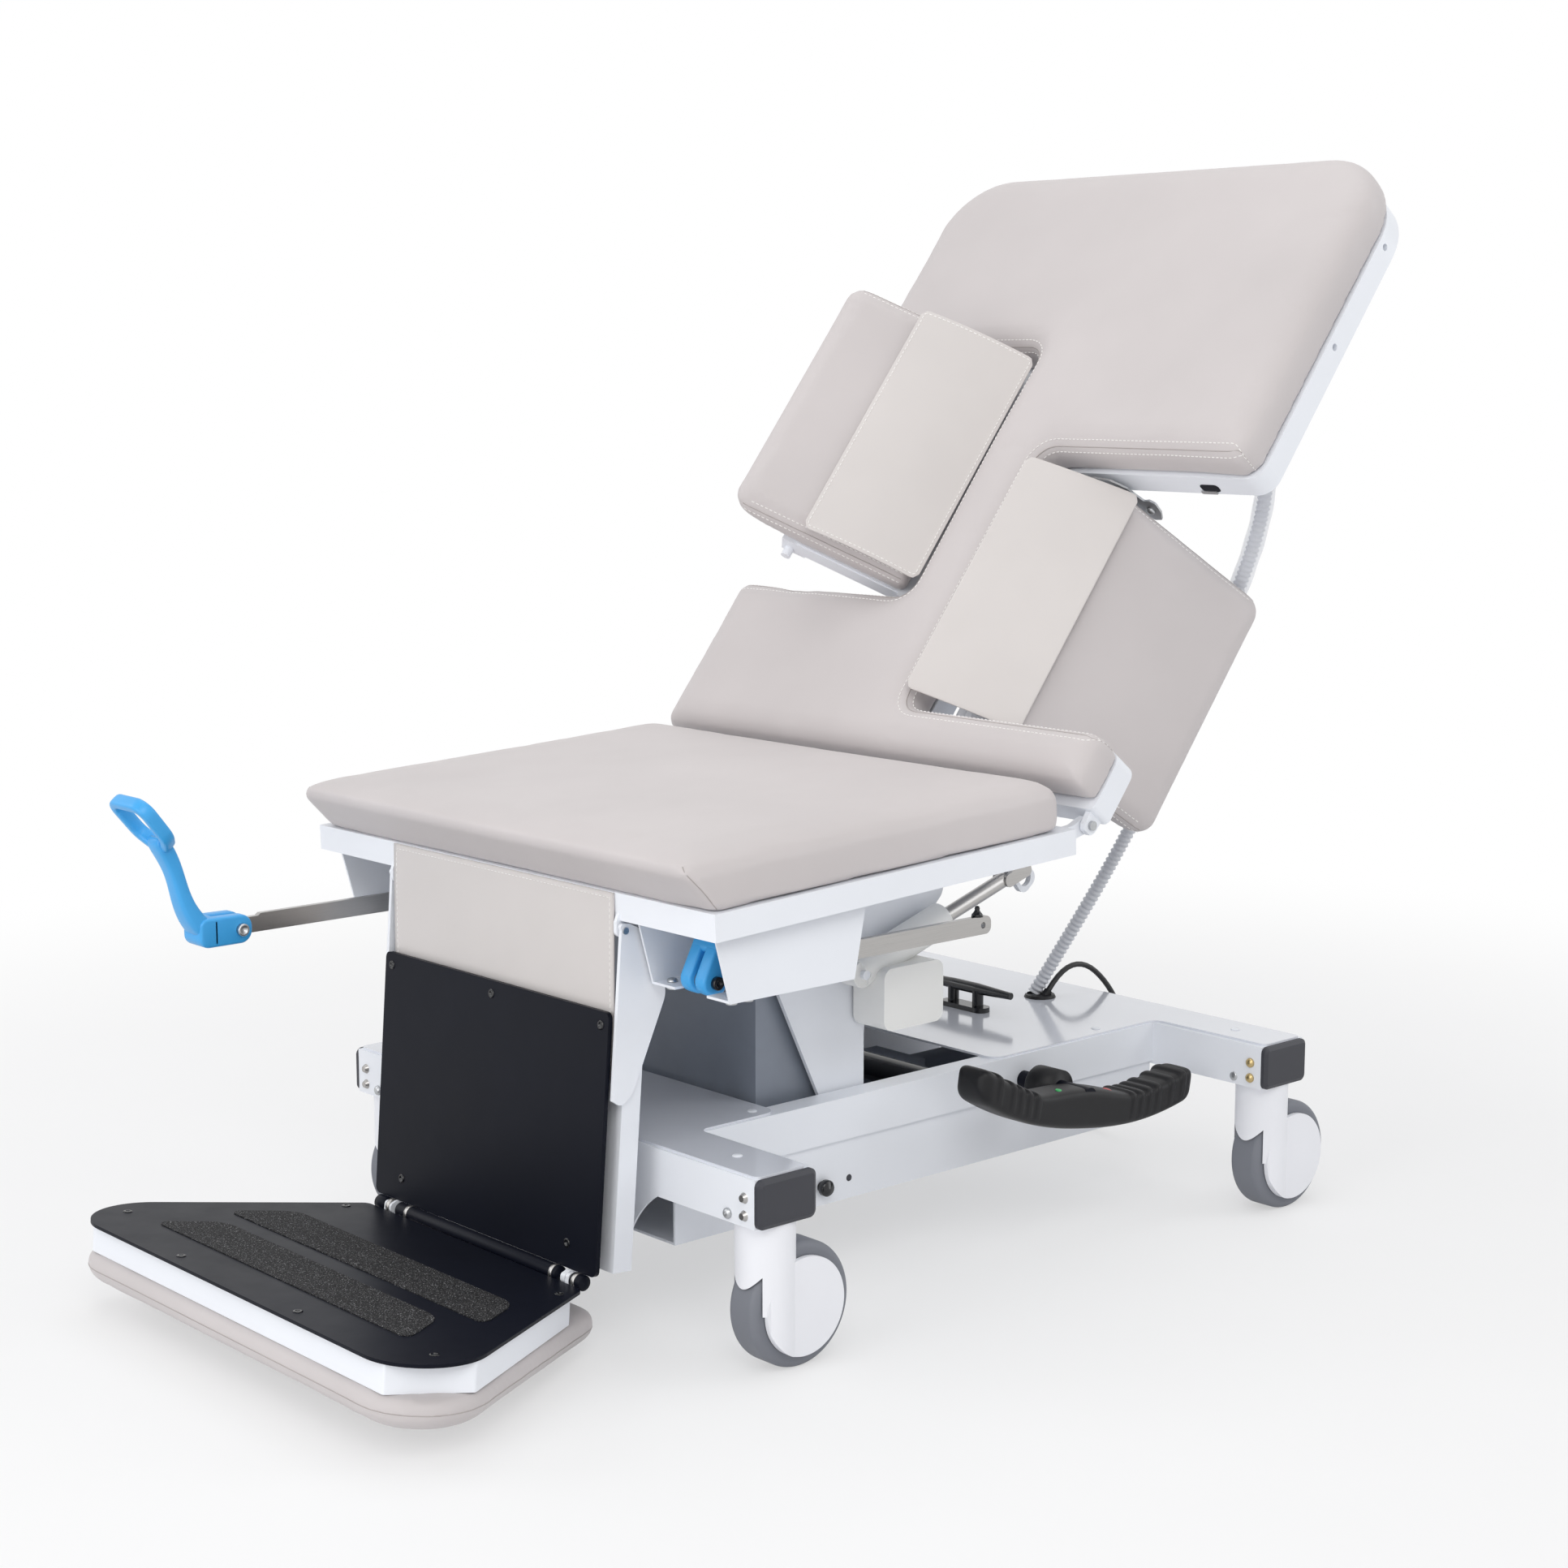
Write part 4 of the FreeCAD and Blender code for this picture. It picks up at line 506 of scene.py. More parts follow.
def makeCordCurve(name, spots, finish, body):
    piece = splineThrough(name, spots)
    piece.data.bevel_depth = cordFacts["dia"] / 2
    piece.data.bevel_resolution = cordFacts["fine"]
    piece.data.use_fill_caps = True
    piece.data.materials.append(finishes[finish])
    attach(piece, body)
    return piece


def splineLine(spots):  # dense points of the same spline, with no bevel
    probe = splineThrough("lineProbe", spots)
    curve = probe.data
    mesh = bpy.data.meshes.new_from_object(probe)
    line = readPoints(mesh).reshape(-1, 3)
    bpy.data.objects.remove(probe)
    bpy.data.curves.remove(curve)
    bpy.data.meshes.remove(mesh)
    return line


coilTurns = 2 * cordFacts["turns"] + 0.5
coilLine = coilSpots(np.arange(cordFacts["first"], coilTurns + 0.001, cordFacts["step"]))
tailHeading = coilLine[-1] - coilLine[-2]
tailHeading[2] = 0
tailSpots = coilLine[-1] + unit(tailHeading) * np.array([[0.35], [0.675], [1.0]]) * cordFacts["tail"]
cordSpots = np.vstack([np.array(cordRoute), coilLine, tailSpots])
mainsCord = makeCordCurve("mainsCord", cordSpots, "cord_black", "base")
cordLength = float(runAlong(splineLine(cordSpots))[-1])
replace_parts(mainsCord, "mains_cord", "mains_coil")
print("mains cord length", round(cordLength, 3))

# coil tie: a flat band, a closed stadium section carried along its width
tieFacts = {"turn": 0.30, "inner": 0.0235, "outer": 0.0675, "low": 0.0004, "high": 0.0183, "wide": 0.009,
            "thick": 0.0012, "round": 0.005}


def makeCoilTie():
    f = tieFacts
    heading, left, centre = coilPlace()
    a = 2 * np.pi * f["turn"]
    out = -left * math.cos(a) + heading * math.sin(a)
    across = np.array([-out[1], out[0], 0])
    corners = [(f["inner"], f["low"]), (f["outer"], f["low"]), (f["outer"], f["high"]), (f["inner"], f["high"])]
    skin, lining = [roundOutline(corners, [f["round"]] * 4, inset) for inset in (0.0, f["thick"])]
    points = []
    for shift, ring in ((-1, skin), (1, skin), (1, lining), (-1, lining)):
        flat = centre + out * ring[:, 0:1] + across * (shift * f["wide"] / 2)
        flat[:, 2] = ring[:, 1]
        points.append(flat)
    return makePiece("coilTie", np.array(points), ringFaces(4, len(skin)), "charcoal", "base")


coilTie = makeCoilTie()
print("cord coiled and tied")

# ribbed hose: circles carried along a four-point curve, their radius a rounded wave along its length
hoseFacts = {"dia": 0.020, "groove": 0.0150, "pitch": 0.0075, "around": 20, "perRib": 8, "crest": 0.6,
             "base": (0.397, 0.002, 0.249), "baseHeading": (0.33, -0.36, 0.87),
             "joint": (0.507, -0.128, 0.580), "jointHeading": (0.29, -0.23, 0.93),
             "top": (0.675, -0.272, -0.0183), "lowerPull": 0.12, "upperPull": 0.2, "topPull": 0.19}


# curve with four controls: each weighted by its share of the cube of t and the rest
def bezierLine(controls, count=900):
    t = np.linspace(0, 1, count)[:, None]
    c = np.array(controls, float)
    return c[0] * (1 - t) ** 3 + 3 * c[1] * t * (1 - t) ** 2 + 3 * c[2] * t * t * (1 - t) + c[3] * t ** 3


def makeHose(name, controls, node):
    f = hoseFacts
    curve = bezierLine(controls)
    ribs = int(round(evenLine(curve, 10)[1] / f["pitch"]))
    line, length = evenLine(curve, ribs * f["perRib"] + 1)
    wave = 0.5 + 0.5 * np.cos(2 * np.pi * np.arange(len(line)) / f["perRib"])
    radius = f["groove"] / 2 + (f["dia"] - f["groove"]) / 2 * wave ** f["crest"]
    points = line[:, None] + circlesAlong(line, f["around"]) * radius[:, None, None]
    hose = makePiece(name, points, shellFaces(len(line), f["around"]), "hose_grey")
    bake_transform(hose)
    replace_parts(hose, node)
    return line, length


hoseBase, hoseJoint = np.array(hoseFacts["base"]), np.array(hoseFacts["joint"])
baseHeading, jointHeading = unit(hoseFacts["baseHeading"]), unit(hoseFacts["jointHeading"])
hoseTop = intoWorld(backFrame, hoseFacts["top"])
lowerControls = [hoseBase, hoseBase + baseHeading * hoseFacts["lowerPull"],
                 hoseJoint - jointHeading * hoseFacts["lowerPull"], hoseJoint]
upperControls = [hoseJoint, hoseJoint + jointHeading * hoseFacts["upperPull"],
                 hoseTop - backFrame[1][2] * hoseFacts["topPull"], hoseTop]
lowerLength = makeHose("lowerHose", lowerControls, "lower_hose")[1]
upperLine, upperLength = makeHose("upperHose", upperControls, "upper_hose")
print("hose made,", round(lowerLength + upperLength, 3), "long")

# cushions: a shell through rounded outlines, remeshed evenly and swelled as cloth under pressure
swellFacts = {"quality": 4, "mass": 0.3, "tension_stiffness": 20.0, "compression_stiffness": 20.0,
              "bending_stiffness": 1.0, "use_pressure": True, "uniform_pressure_force": 4.0}
swellFrames = 20


def puffUp(piece, voxel, cap):
    remesh = piece.modifiers.new("even", "REMESH")
    remesh.mode = "VOXEL"
    remesh.voxel_size = voxel
    mesh = bpy.data.meshes.new_from_object(piece.evaluated_get(bpy.context.evaluated_depsgraph_get()))
    mesh.name = piece.name
    piece.modifiers.clear()
    material = piece.data.materials[0]
    piece.data = mesh
    mesh.materials.clear()
    mesh.materials.append(material)
    rest = readPoints(mesh)
    cloth = piece.modifiers.new("swell", "CLOTH")
    for key, value in swellFacts.items():
        setattr(cloth.settings, key, value)
    cloth.settings.effector_weights.gravity = 0.0
    cloth.collision_settings.use_collision = False
    cloth.point_cache.frame_start = 1
    cloth.point_cache.frame_end = swellFrames
    for step in range(1, swellFrames + 1):
        scene.frame_set(step)
    moved = readPoints(piece.evaluated_get(bpy.context.evaluated_depsgraph_get()).to_mesh())
    piece.modifiers.clear()
    shift = (moved - rest).reshape(-1, 3)
    reach = np.linalg.norm(shift, axis=1, keepdims=True)
    shift *= np.minimum(1.0, cap / np.maximum(reach, 1e-9))  # no point goes further than the cap
    mesh.vertices.foreach_set("co", (rest.reshape(-1, 3) + shift).ravel())
    scene.frame_set(1)
    print("  swelled", piece.name, len(mesh.vertices), "points, most", round(float(reach.max()), 4))
    mesh.polygons.foreach_set("use_smooth", np.ones(len(mesh.polygons), bool))
    mesh.update()


def makeCushion(name, points, facts, body, node, mirrored=False):
    faces = shellFaces(*points.shape[:2])
    piece = makePiece(name, points, flipped(faces) if mirrored else faces, "vinyl")
    puffUp(piece, facts["voxel"], facts["cap"])
    smooth = piece.modifiers.new("smooth", "SUBSURF")
    smooth.levels = smooth.render_levels = 1
    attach(piece, body)
    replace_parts(piece, node)
    return piece


# seat: rings of height, front, half width and rear, in the seat's frame
seatFacts = {"rings": [(0.0325, 0.005, 0.395, 0.568), (0.037, 0.000, 0.398, 0.571), (0.058, -0.018, 0.399, 0.572),
                       (0.076, -0.034, 0.398, 0.571), (0.085, -0.038, 0.393, 0.566), (0.0905, -0.033, 0.385, 0.558),
                       (0.0945, -0.018, 0.370, 0.543), (0.097, 0.020, 0.330, 0.505)],
             "corner": [0.012, 0.026, 0.012, 0.026], "voxel": 0.0075, "cap": 0.003, "fill": 0.8}
seatRings = []
for height, front, half, rear in seatFacts["rings"]:
    corners = [(front, -half), (rear, -half), (rear, half), (front, half)]
    seatRings.append(atHeight(roundOutline(corners, seatFacts["corner"]), height))
seatPoints = intoWorld(seatFrame, np.array(seatRings))
seatCushion = makeCushion("seatCushion", seatPoints, seatFacts, "carriage", "seat_cushion")

# back: one outline with a neck between two cut-outs, rings of height and inset
backFacts = {"rings": [(0.0185, 0.004), (0.022, 0.0015), (0.030, 0.001), (0.050, 0.001), (0.060, 0.004),
                       (0.067, 0.010), (0.072, 0.019), (0.0755, 0.029), (0.077, 0.040)],
             "start": 0.020, "end": 1.028, "half": 0.402, "neck": 0.055, "near": (0.098, 0.518), "far": (0.270, 0.690),
             "radii": [0.008, 0.020, 0.020, 0.020, 0.025, 0.105, 0.105, 0.025, 0.020, 0.020, 0.020, 0.008],
             "voxel": 0.0075, "cap": 0.003, "fill": 0.85}


def backRing(height, inset):
    f = backFacts
    half, neck, near, far = f["half"], f["neck"], f["near"], f["far"]
    corners = [(f["start"], -half), (near[0], -half), (near[0], -neck), (near[1], -neck), (near[1], -half),
               (f["end"], -half), (f["end"], half), (far[1], half), (far[1], neck), (far[0], neck), (far[0], half),
               (f["start"], half)]
    return atHeight(roundOutline(corners, f["radii"], inset), height)


backRings = np.array([backRing(h, i) for h, i in backFacts["rings"]])
backCushion = makeCushion("backCushion", intoWorld(backFrame, backRings), backFacts, "back", "back_cushion")

# side pads: wedges that thin towards the free edge, rings of height, free edge and inset
padFacts = {"inner": 0.017, "radii": [0.012, 0.012, 0.030, 0.030],
            "rings": [(0.0275, 0.200, 0.005), (0.036, 0.246, 0.003), (0.045, 0.282, 0.002), (0.056, 0.2955, 0.0015),
                      (0.064, 0.2955, 0.004), (0.069, 0.293, 0.009), (0.073, 0.287, 0.017), (0.0755, 0.276, 0.027)],
            "voxel": 0.0055, "cap": 0.0025, "fill": 0.85}
padSides = {-1: "near", 1: "far"}


def padRings(side):
    start, end = padSpan[side]
    rings = []
    for height, outer, inset in padFacts["rings"]:
        corners = [(start, padFacts["inner"]), (end, padFacts["inner"]), (end, outer + inset), (start, outer + inset)]
        rings.append(atHeight(roundOutline(corners, padFacts["radii"], inset), height))
    return padWorld(side, np.array(rings))


padPieces = {side: makeCushion("padCushion" + name.title(), padRings(side), padFacts, "pad_" + name,
                               "pad_cushion_" + name, side < 0) for side, name in padSides.items()}

# foot cushion: under the foot frame, crowned downwards; rings of share of its depth and inset
footFacts = {"hinge": -0.014, "top": -0.457, "thick": 0.042, "root": -0.034, "reach": 0.353, "rootHalf": 0.222,
             "tipHalf": 0.419, "first": 0.011, "radii": [0.040, 0.040, 0.075, 0.075],
             "rings": [(0.01, 0.004), (0.10, -0.001), (0.25, -0.0035), (0.42, -0.004), (0.60, -0.001), (0.75, 0.006),
                       (0.87, 0.016), (0.95, 0.028)],
             "voxel": 0.006, "cap": 0.0025, "fill": 0.8}


def footHalf(reach):  # half width grows evenly from the first line to the tip
    f = footFacts
    return f["rootHalf"] + (f["tipHalf"] - f["rootHalf"]) * (reach - f["first"]) / (f["reach"] - f["first"])


def footRing(share, inset):
    f = footFacts
    root, tip = f["hinge"] - f["root"], f["hinge"] - f["reach"]
    a, b = footHalf(f["root"]), footHalf(f["reach"])
    ring = roundOutline([(root, -a), (root, a), (tip, b), (tip, -b)], f["radii"], inset)
    return atHeight(ring, f["top"] - f["thick"] * share)


footPoints = intoWorld(legFrame, np.array([footRing(s, i) for s, i in footFacts["rings"]]))
footCushion = makeCushion("footCushion", footPoints, footFacts, "foot", "foot_cushion", True)
print("cushions made")

# pad flaps by side: edge on the back and edge on the pad, outwards and up from the back's middle, and the bow
padFlapFacts = {-1: {"inner": (0.052, 0.084), "outer": (0.197, -0.0014), "bow": -0.003},
                1: {"inner": (0.044, 0.0715), "outer": (0.176, 0.188), "bow": 0.006}}
flapFacts = {"long": 0.380, "corner": 0.010, "thick": 0.003, "soft": 0.001, "rows": 61, "columns": 31,
             "ripple": 0.0006, "hem": 0.005}


# flat cut of a flap: rows shortened near both edges, so that the corners are round
def flapGrid(width):
    f = flapFacts
    across = np.linspace(0, width, f["columns"])
    depth = np.minimum(across, width - across)
    corner = f["corner"]
    pull = np.where(depth < corner, corner - np.sqrt(np.maximum(corner ** 2 - (corner - depth) ** 2, 0)), 0)
    along = np.linspace(-1, 1, f["rows"])[:, None] * (f["long"] / 2 - pull)[None]
    return along, np.broadcast_to(across, along.shape)


def flapWidth(side):
    return math.dist(padFlapFacts[side]["inner"], padFlapFacts[side]["outer"])


# a shallow arc between the two edges, lifted square to its chord, with a slow ripple
def padFlapSurface(side, along, share, lift):
    f = padFlapFacts[side]
    inner, outer = np.array(f["inner"]), np.array(f["outer"])
    chord = outer - inner
    normal = side * np.array([-chord[1], chord[0]]) / np.linalg.norm(chord)
    ripple = flapFacts["ripple"] * np.sin(along * 31 + share * 2.1) * np.sin(share * 3.1)
    rise = lift + f["bow"] * 4 * share * (1 - share) + ripple
    middle = sum(padSpan[side]) / 2
    a = inner[0] + chord[0] * share + normal[0] * rise
    b = inner[1] + chord[1] * share + normal[1] * rise
    return intoWorld(backFrame, np.stack([middle + along, side * a, b], -1))


def thicken(piece, thick):
    solid = piece.modifiers.new("thick", "SOLIDIFY")
    solid.thickness = thick
    solid.offset = 0.0


def makePadFlap(side, name):
    f = flapFacts
    width = flapWidth(side)
    along, across = flapGrid(width)
    points = padFlapSurface(side, along, across / width, f["thick"] / 2)
    flap = makePiece("padFlap" + name.title(), points, gridFaces(f["rows"], f["columns"]), "vinyl_pale")
    thicken(flap, f["thick"])
    soften = flap.modifiers.new("soft", "BEVEL")
    soften.width = f["soft"]
    soften.segments = 2
    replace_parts(flap, "pad_flap_" + name)
    return flap


padFlaps = {side: makePadFlap(side, name) for side, name in padSides.items()}

# front flap: hangs from the seat frame in front of the leg's top
frontFacts = {"x": -0.5508, "top": 0.5506, "hem": 0.330, "half": 0.222, "fall": 0.2206, "thick": 0.0025,
              "rows": 61, "columns": 41, "wave": 0.0012, "belly": 0.0008, "corner": 0.004, "inset": 0.006,
              "thread": 0.6}


# a plane with waves that grow down from the seat and a slight belly
def frontFlapSurface(y, drop):
    f = frontFacts
    z = f["top"] + (f["hem"] - f["top"]) * drop
    wave = f["wave"] * np.sin(y * 17 + 0.6) * drop * (1.2 - drop) - f["belly"] * np.sin(drop * 3.0)
    return np.stack([f["x"] + wave, y, z], -1)


def makeFrontFlap():
    f = frontFacts
    across, down = np.linspace(-f["half"], f["half"], f["rows"]), np.linspace(0, 1, f["columns"])
    y, drop = np.meshgrid(across, down, indexing="ij")
    flap = makePiece("frontFlap", frontFlapSurface(y, drop), gridFaces(f["rows"], f["columns"]), "vinyl_pale")
    thicken(flap, f["thick"])
    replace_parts(flap, "front_flap")
    return flap


frontFlap = makeFrontFlap()
print("flaps made")


# turned pieces: one profile of radius and height, spun about an axis at every given place
def makeTurned(name, places, axis, profile, finish, body, around=20):
    up = unit(axis)
    first = unit(np.cross(up, [0.36, 0.48, 0.8]))
    second = np.cross(up, first)
    p = np.array(profile, float)
    angle = np.linspace(0, 2 * np.pi, around, endpoint=False)
    ring = first * np.cos(angle)[:, None] + second * np.sin(angle)[:, None]
    one = p[:, 0, None, None] * ring[None] + p[:, 1, None, None] * up
    spots = np.array(places, float).reshape(-1, 3)
    faces = copyFaces(shellFaces(len(p), around), len(p) * around, len(spots))
    return makePiece(name, spots[:, None, None] + one[None], faces, finish, body)


# a flat plate square to the back's length: an outline across and up, carried through its thickness
def makePlate(name, x, outline, thick, finish, body):
    across, up = backFrame[1][1], backFrame[1][2]
    flat = intoWorld(backFrame, (x, 0, 0)) + outline[:, 0:1] * across + outline[:, 1:2] * up
    points = np.stack([flat, flat + np.cross(across, up) * thick])
    return makePiece(name, points, shellFaces(2, len(outline)), finish, body, False)


# stitches: short capsules along a path, lying on the surface whose normals are given
stitchFacts = {"gap": 0.0070, "long": 0.0047, "radius": 0.0007, "around": 6, "lift": 0.0001, "look": 0.001,
               "shape": [(-1.0, 0.15), (-0.8, 0.85), (0.0, 1.0), (0.8, 0.85), (1.0, 0.15)]}


def makeStitches(name, rows, body=None, thickness=1.0):
    f = stitchFacts
    shape = np.array(f["shape"])
    angle = np.linspace(0, 2 * np.pi, f["around"], endpoint=False)
    blocks = []
    for line, normals in rows:
        run = runAlong(line)
        s = np.arange(f["gap"] / 2, run[-1], f["gap"])
        ahead = readAlong(s + f["look"], run, line) - readAlong(s - f["look"], run, line)
        ahead /= np.linalg.norm(ahead, axis=1, keepdims=True)
        up = readAlong(s, run, normals)
        up /= np.linalg.norm(up, axis=1, keepdims=True)
        side = np.cross(ahead, up)
        circle = up[:, None] * np.cos(angle)[:, None] + side[:, None] * np.sin(angle)[:, None]
        reach = (shape[:, 0] * f["long"] / 2)[:, None]
        spine = readAlong(s, run, line)[:, None] + ahead[:, None] * reach + up[:, None] * f["lift"]
        blocks.append(spine[:, :, None] + circle[:, None] * (shape[:, 1] * f["radius"] * thickness)[:, None, None])
    points = np.concatenate(blocks)
    faces = copyFaces(shellFaces(len(shape), f["around"]), len(shape) * f["around"], len(points))
    return makePiece(name, points, faces, "thread", body)


# nearest places on a finished cushion, with the normals there
def ontoSurface(piece, line):
    tree = BVHTree.FromObject(piece, bpy.context.evaluated_depsgraph_get())
    found = [tree.find_nearest(Vector(p)) for p in np.asarray(line, float)]
    return np.array([f[0] for f in found]), np.array([f[1] for f in found])


def densely(line, gap=0.004):
    line = np.asarray(line, float)
    return evenLine(line, max(3, int(np.linalg.norm(np.diff(line, axis=0), axis=1).sum() / gap)))[0]


def eased(line, rounds=3):  # a running mean that keeps both ends
    line = np.array(line)
    for _ in range(rounds):
        line[1:-1] = (line[:-2] + 2 * line[1:-1] + line[2:]) / 4
    return line


seamFacts = {"radius": 0.0007, "around": 8}


# seams: thin round lines laid on a cushion in darker vinyl, painted shade of the seam's crease, with rows of stitches
# beside them
def sewSeams(name, piece, body, lines, rowLines):
    for k, line in enumerate(lines):
        spots = eased(ontoSurface(piece, densely(line))[0])
        points = spots[:, None] + circlesAlong(spots, seamFacts["around"]) * seamFacts["radius"]
        seam_shade = makePiece(name + "Seam" + str(k + 1), points, shellFaces(*points.shape[:2]), "seam_shade", body)
        print("  seam", seam_shade.name, len(spots))
    laid = [ontoSurface(piece, densely(line)) for line in rowLines]
    if laid:
        makeStitches(name + "Stitches", [(eased(spots), eased(normals, 6)) for spots, normals in laid], body)


# back cushion: boxed panels in both cut-outs, a seam on the edge and a row of stitches on each side of it
backSeams = {"corners": [(1, 4), (7, 10)], "edge": (0.0655, 0.009), "rows": [(0.0715, 0.0175), (0.0585, 0.0035)],
             "clear": 0.006}


def backEdge(first, last, height, inset):
    spots = [corner * arcSteps + arcSteps // 2 for corner in (first, last)]
    edge = backRing(height, inset)[spots[0]:spots[1] + 1]
    falls = [(h, i) for h, i in backFacts["rings"] if h < height - backSeams["clear"]]
    down = [np.array([backRing(h, i)[spot] for h, i in falls]) for spot in spots]
    return intoWorld(backFrame, np.vstack([down[0], edge, down[1][::-1]]))


sewSeams("back", backCushion, "back", [backEdge(*pair, *backSeams["edge"]) for pair in backSeams["corners"]],
         [backEdge(*pair, *row) for pair in backSeams["corners"] for row in backSeams["rows"]])

# pad cushions: a boxed panel at each end; height, free edge and inset of its seam and rows
padSeams = {"edge": (0.0675, 0.290, 0.007), "rows": [(0.072, 0.283, 0.015), (0.0605, 0.292, 0.0035)],
            "clear": 0.012, "points": 40}


def padEdge(side, atEnd, height, outer, inset):
    start, end = padSpan[side]
    count = padSeams["points"]
    y = np.linspace(padFacts["inner"] + padSeams["clear"], outer - padSeams["clear"], count)
    x = np.full(count, end - inset if atEnd else start + inset)
    return padWorld(side, np.column_stack([x, y, np.full(count, height)]))


for side, name in padSides.items():
    sewSeams(name + "Pad", padPieces[side], "pad_" + name,
             [padEdge(side, atEnd, *padSeams["edge"]) for atEnd in (False, True)],
             [padEdge(side, atEnd, *row) for atEnd in (False, True) for row in padSeams["rows"]])

# seat: a seam down each front corner; foot cushion: a seam all round
seatCorners = [seatPoints[:6, corner * arcSteps + arcSteps // 2] for corner in (0, 3)]
sewSeams("seat", seatCushion, "carriage", seatCorners, [])
footSeam = intoWorld(legFrame, footRing(*footFacts["rings"][3]))
sewSeams("foot", footCushion, "foot", [np.vstack([footSeam, footSeam[:1]])], [])


# flap borders: stitches along an inset outline of the flat cut, then carried onto the hanging surface
def sheetRow(surface, corners, radius, inset, nudge=0.002):
    flat = roundOutline(corners, [radius] * 4, inset)
    flat = densely(atHeight(np.vstack([flat, flat[:1]]), 0.0))
    u, v = flat[:, 0], flat[:, 1]
    a = surface(u + nudge, v) - surface(u - nudge, v)
    b = surface(u, v + nudge) - surface(u, v - nudge)
    return surface(u, v), np.cross(a, b)


for side, name in padSides.items():
    width, half = flapWidth(side), flapFacts["long"] / 2
    spots, normals = sheetRow(lambda u, v: padFlapSurface(side, u, v / width, flapFacts["thick"]),
                              [(-half, 0), (half, 0), (half, width), (-half, width)], flapFacts["corner"],
                              flapFacts["hem"])
    stitches = makeStitches(name + "FlapStitches", [(spots, side * normals)])
    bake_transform(stitches)
    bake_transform(padFlaps[side])


def sewFrontFlap():
    f = frontFacts
    half, fall = f["half"], f["fall"]
    spots, normals = sheetRow(lambda u, v: frontFlapSurface(u, v / fall) - np.array([f["thick"] / 2, 0, 0]),
                              [(-half, 0), (half, 0), (half, fall), (-half, fall)], f["corner"], f["inset"])
    outward = -abs(normals) * [1, 0, 0] - [1e-6, 0, 0]
    stitches = makeStitches("frontFlapStitches", [(spots, outward)], None, f["thread"])
    for piece in (frontFlap, stitches):
        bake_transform(piece)


sewFrontFlap()
print("seams and stitches sewn")

# screws, plugs, bolts, knobs and the foot hinge: profiles of radius and height, then a row for each set
turnedShapes = {
    "screw": [(0, 0), (0.0058, 0), (0.0058, 0.0005), (0.0046, 0.0011), (0.0027, 0.0012), (0.0024, 0.0002),
              (0, 0.0002)],
    "dome": [(0, 0), (0.0065, 0), (0.0065, 0.0012), (0.0058, 0.0030), (0.0040, 0.0043), (0.0016, 0.0049),
             (0, 0.0050)],
    "plug": [(0, 0), (0.0062, 0), (0.0062, 0.0006), (0.0050, 0.0013), (0.0022, 0.0017), (0, 0.0018)],
    "socket": [(0, 0), (0.0078, 0), (0.0078, 0.0052), (0.0068, 0.0062), (0.0042, 0.0062), (0.0040, 0.0030),
               (0, 0.0030)],
    "knob": [(0, 0), (0.007, 0), (0.007, 0.004), (0.0105, 0.006), (0.0105, 0.012), (0.0085, 0.0145), (0, 0.015)],
    "disc": [(0, 0), (0.0045, 0), (0.0042, 0.0006), (0, 0.0007)],
    "barKnob": [(0, 0), (0.0075, 0), (0.0070, 0.003), (0.0045, 0.006), (0.0030, 0.0085), (0.0034, 0.0105),
                (0.0026, 0.0130), (0, 0.0140)],
    "barrel": [(0, 0), (0.0094, 0), (0.0101, 0.0007), (0.0101, 0.0053), (0.0094, 0.006), (0, 0.006)],
    "tube": [(0, 0), (0.0084, 0), (0.0094, 0.001), (0.0094, 0.331), (0.0084, 0.332), (0, 0.332)],
    "cap": [(0, 0), (0.0084, 0), (0.0094, 0.001), (0.0094, 0.018), (0.0084, 0.019), (0, 0.019)],
    "dot": [(0, 0), (0.0066, 0), (0.0062, 0.0009), (0.0038, 0.0014), (0, 0.0015)],
    "hub": [(0, 0), (0.021, 0), (0.0245, 0.004), (0.0250, 0.010), (0.0250, 0.044), (0, 0.044)],
}
sides = (-1, 1)
upward, toFoot, toNear, toFar = (0, 0, 1), (-1, 0, 0), (0, -1, 0), (0, 1, 0)


def onLeg(spots):
    return intoWorld(legFrame, spots)


def onHinge(starts):  # places on the foot hinge's axis
    return onLeg([(-0.014, y, -0.416) for y in starts])


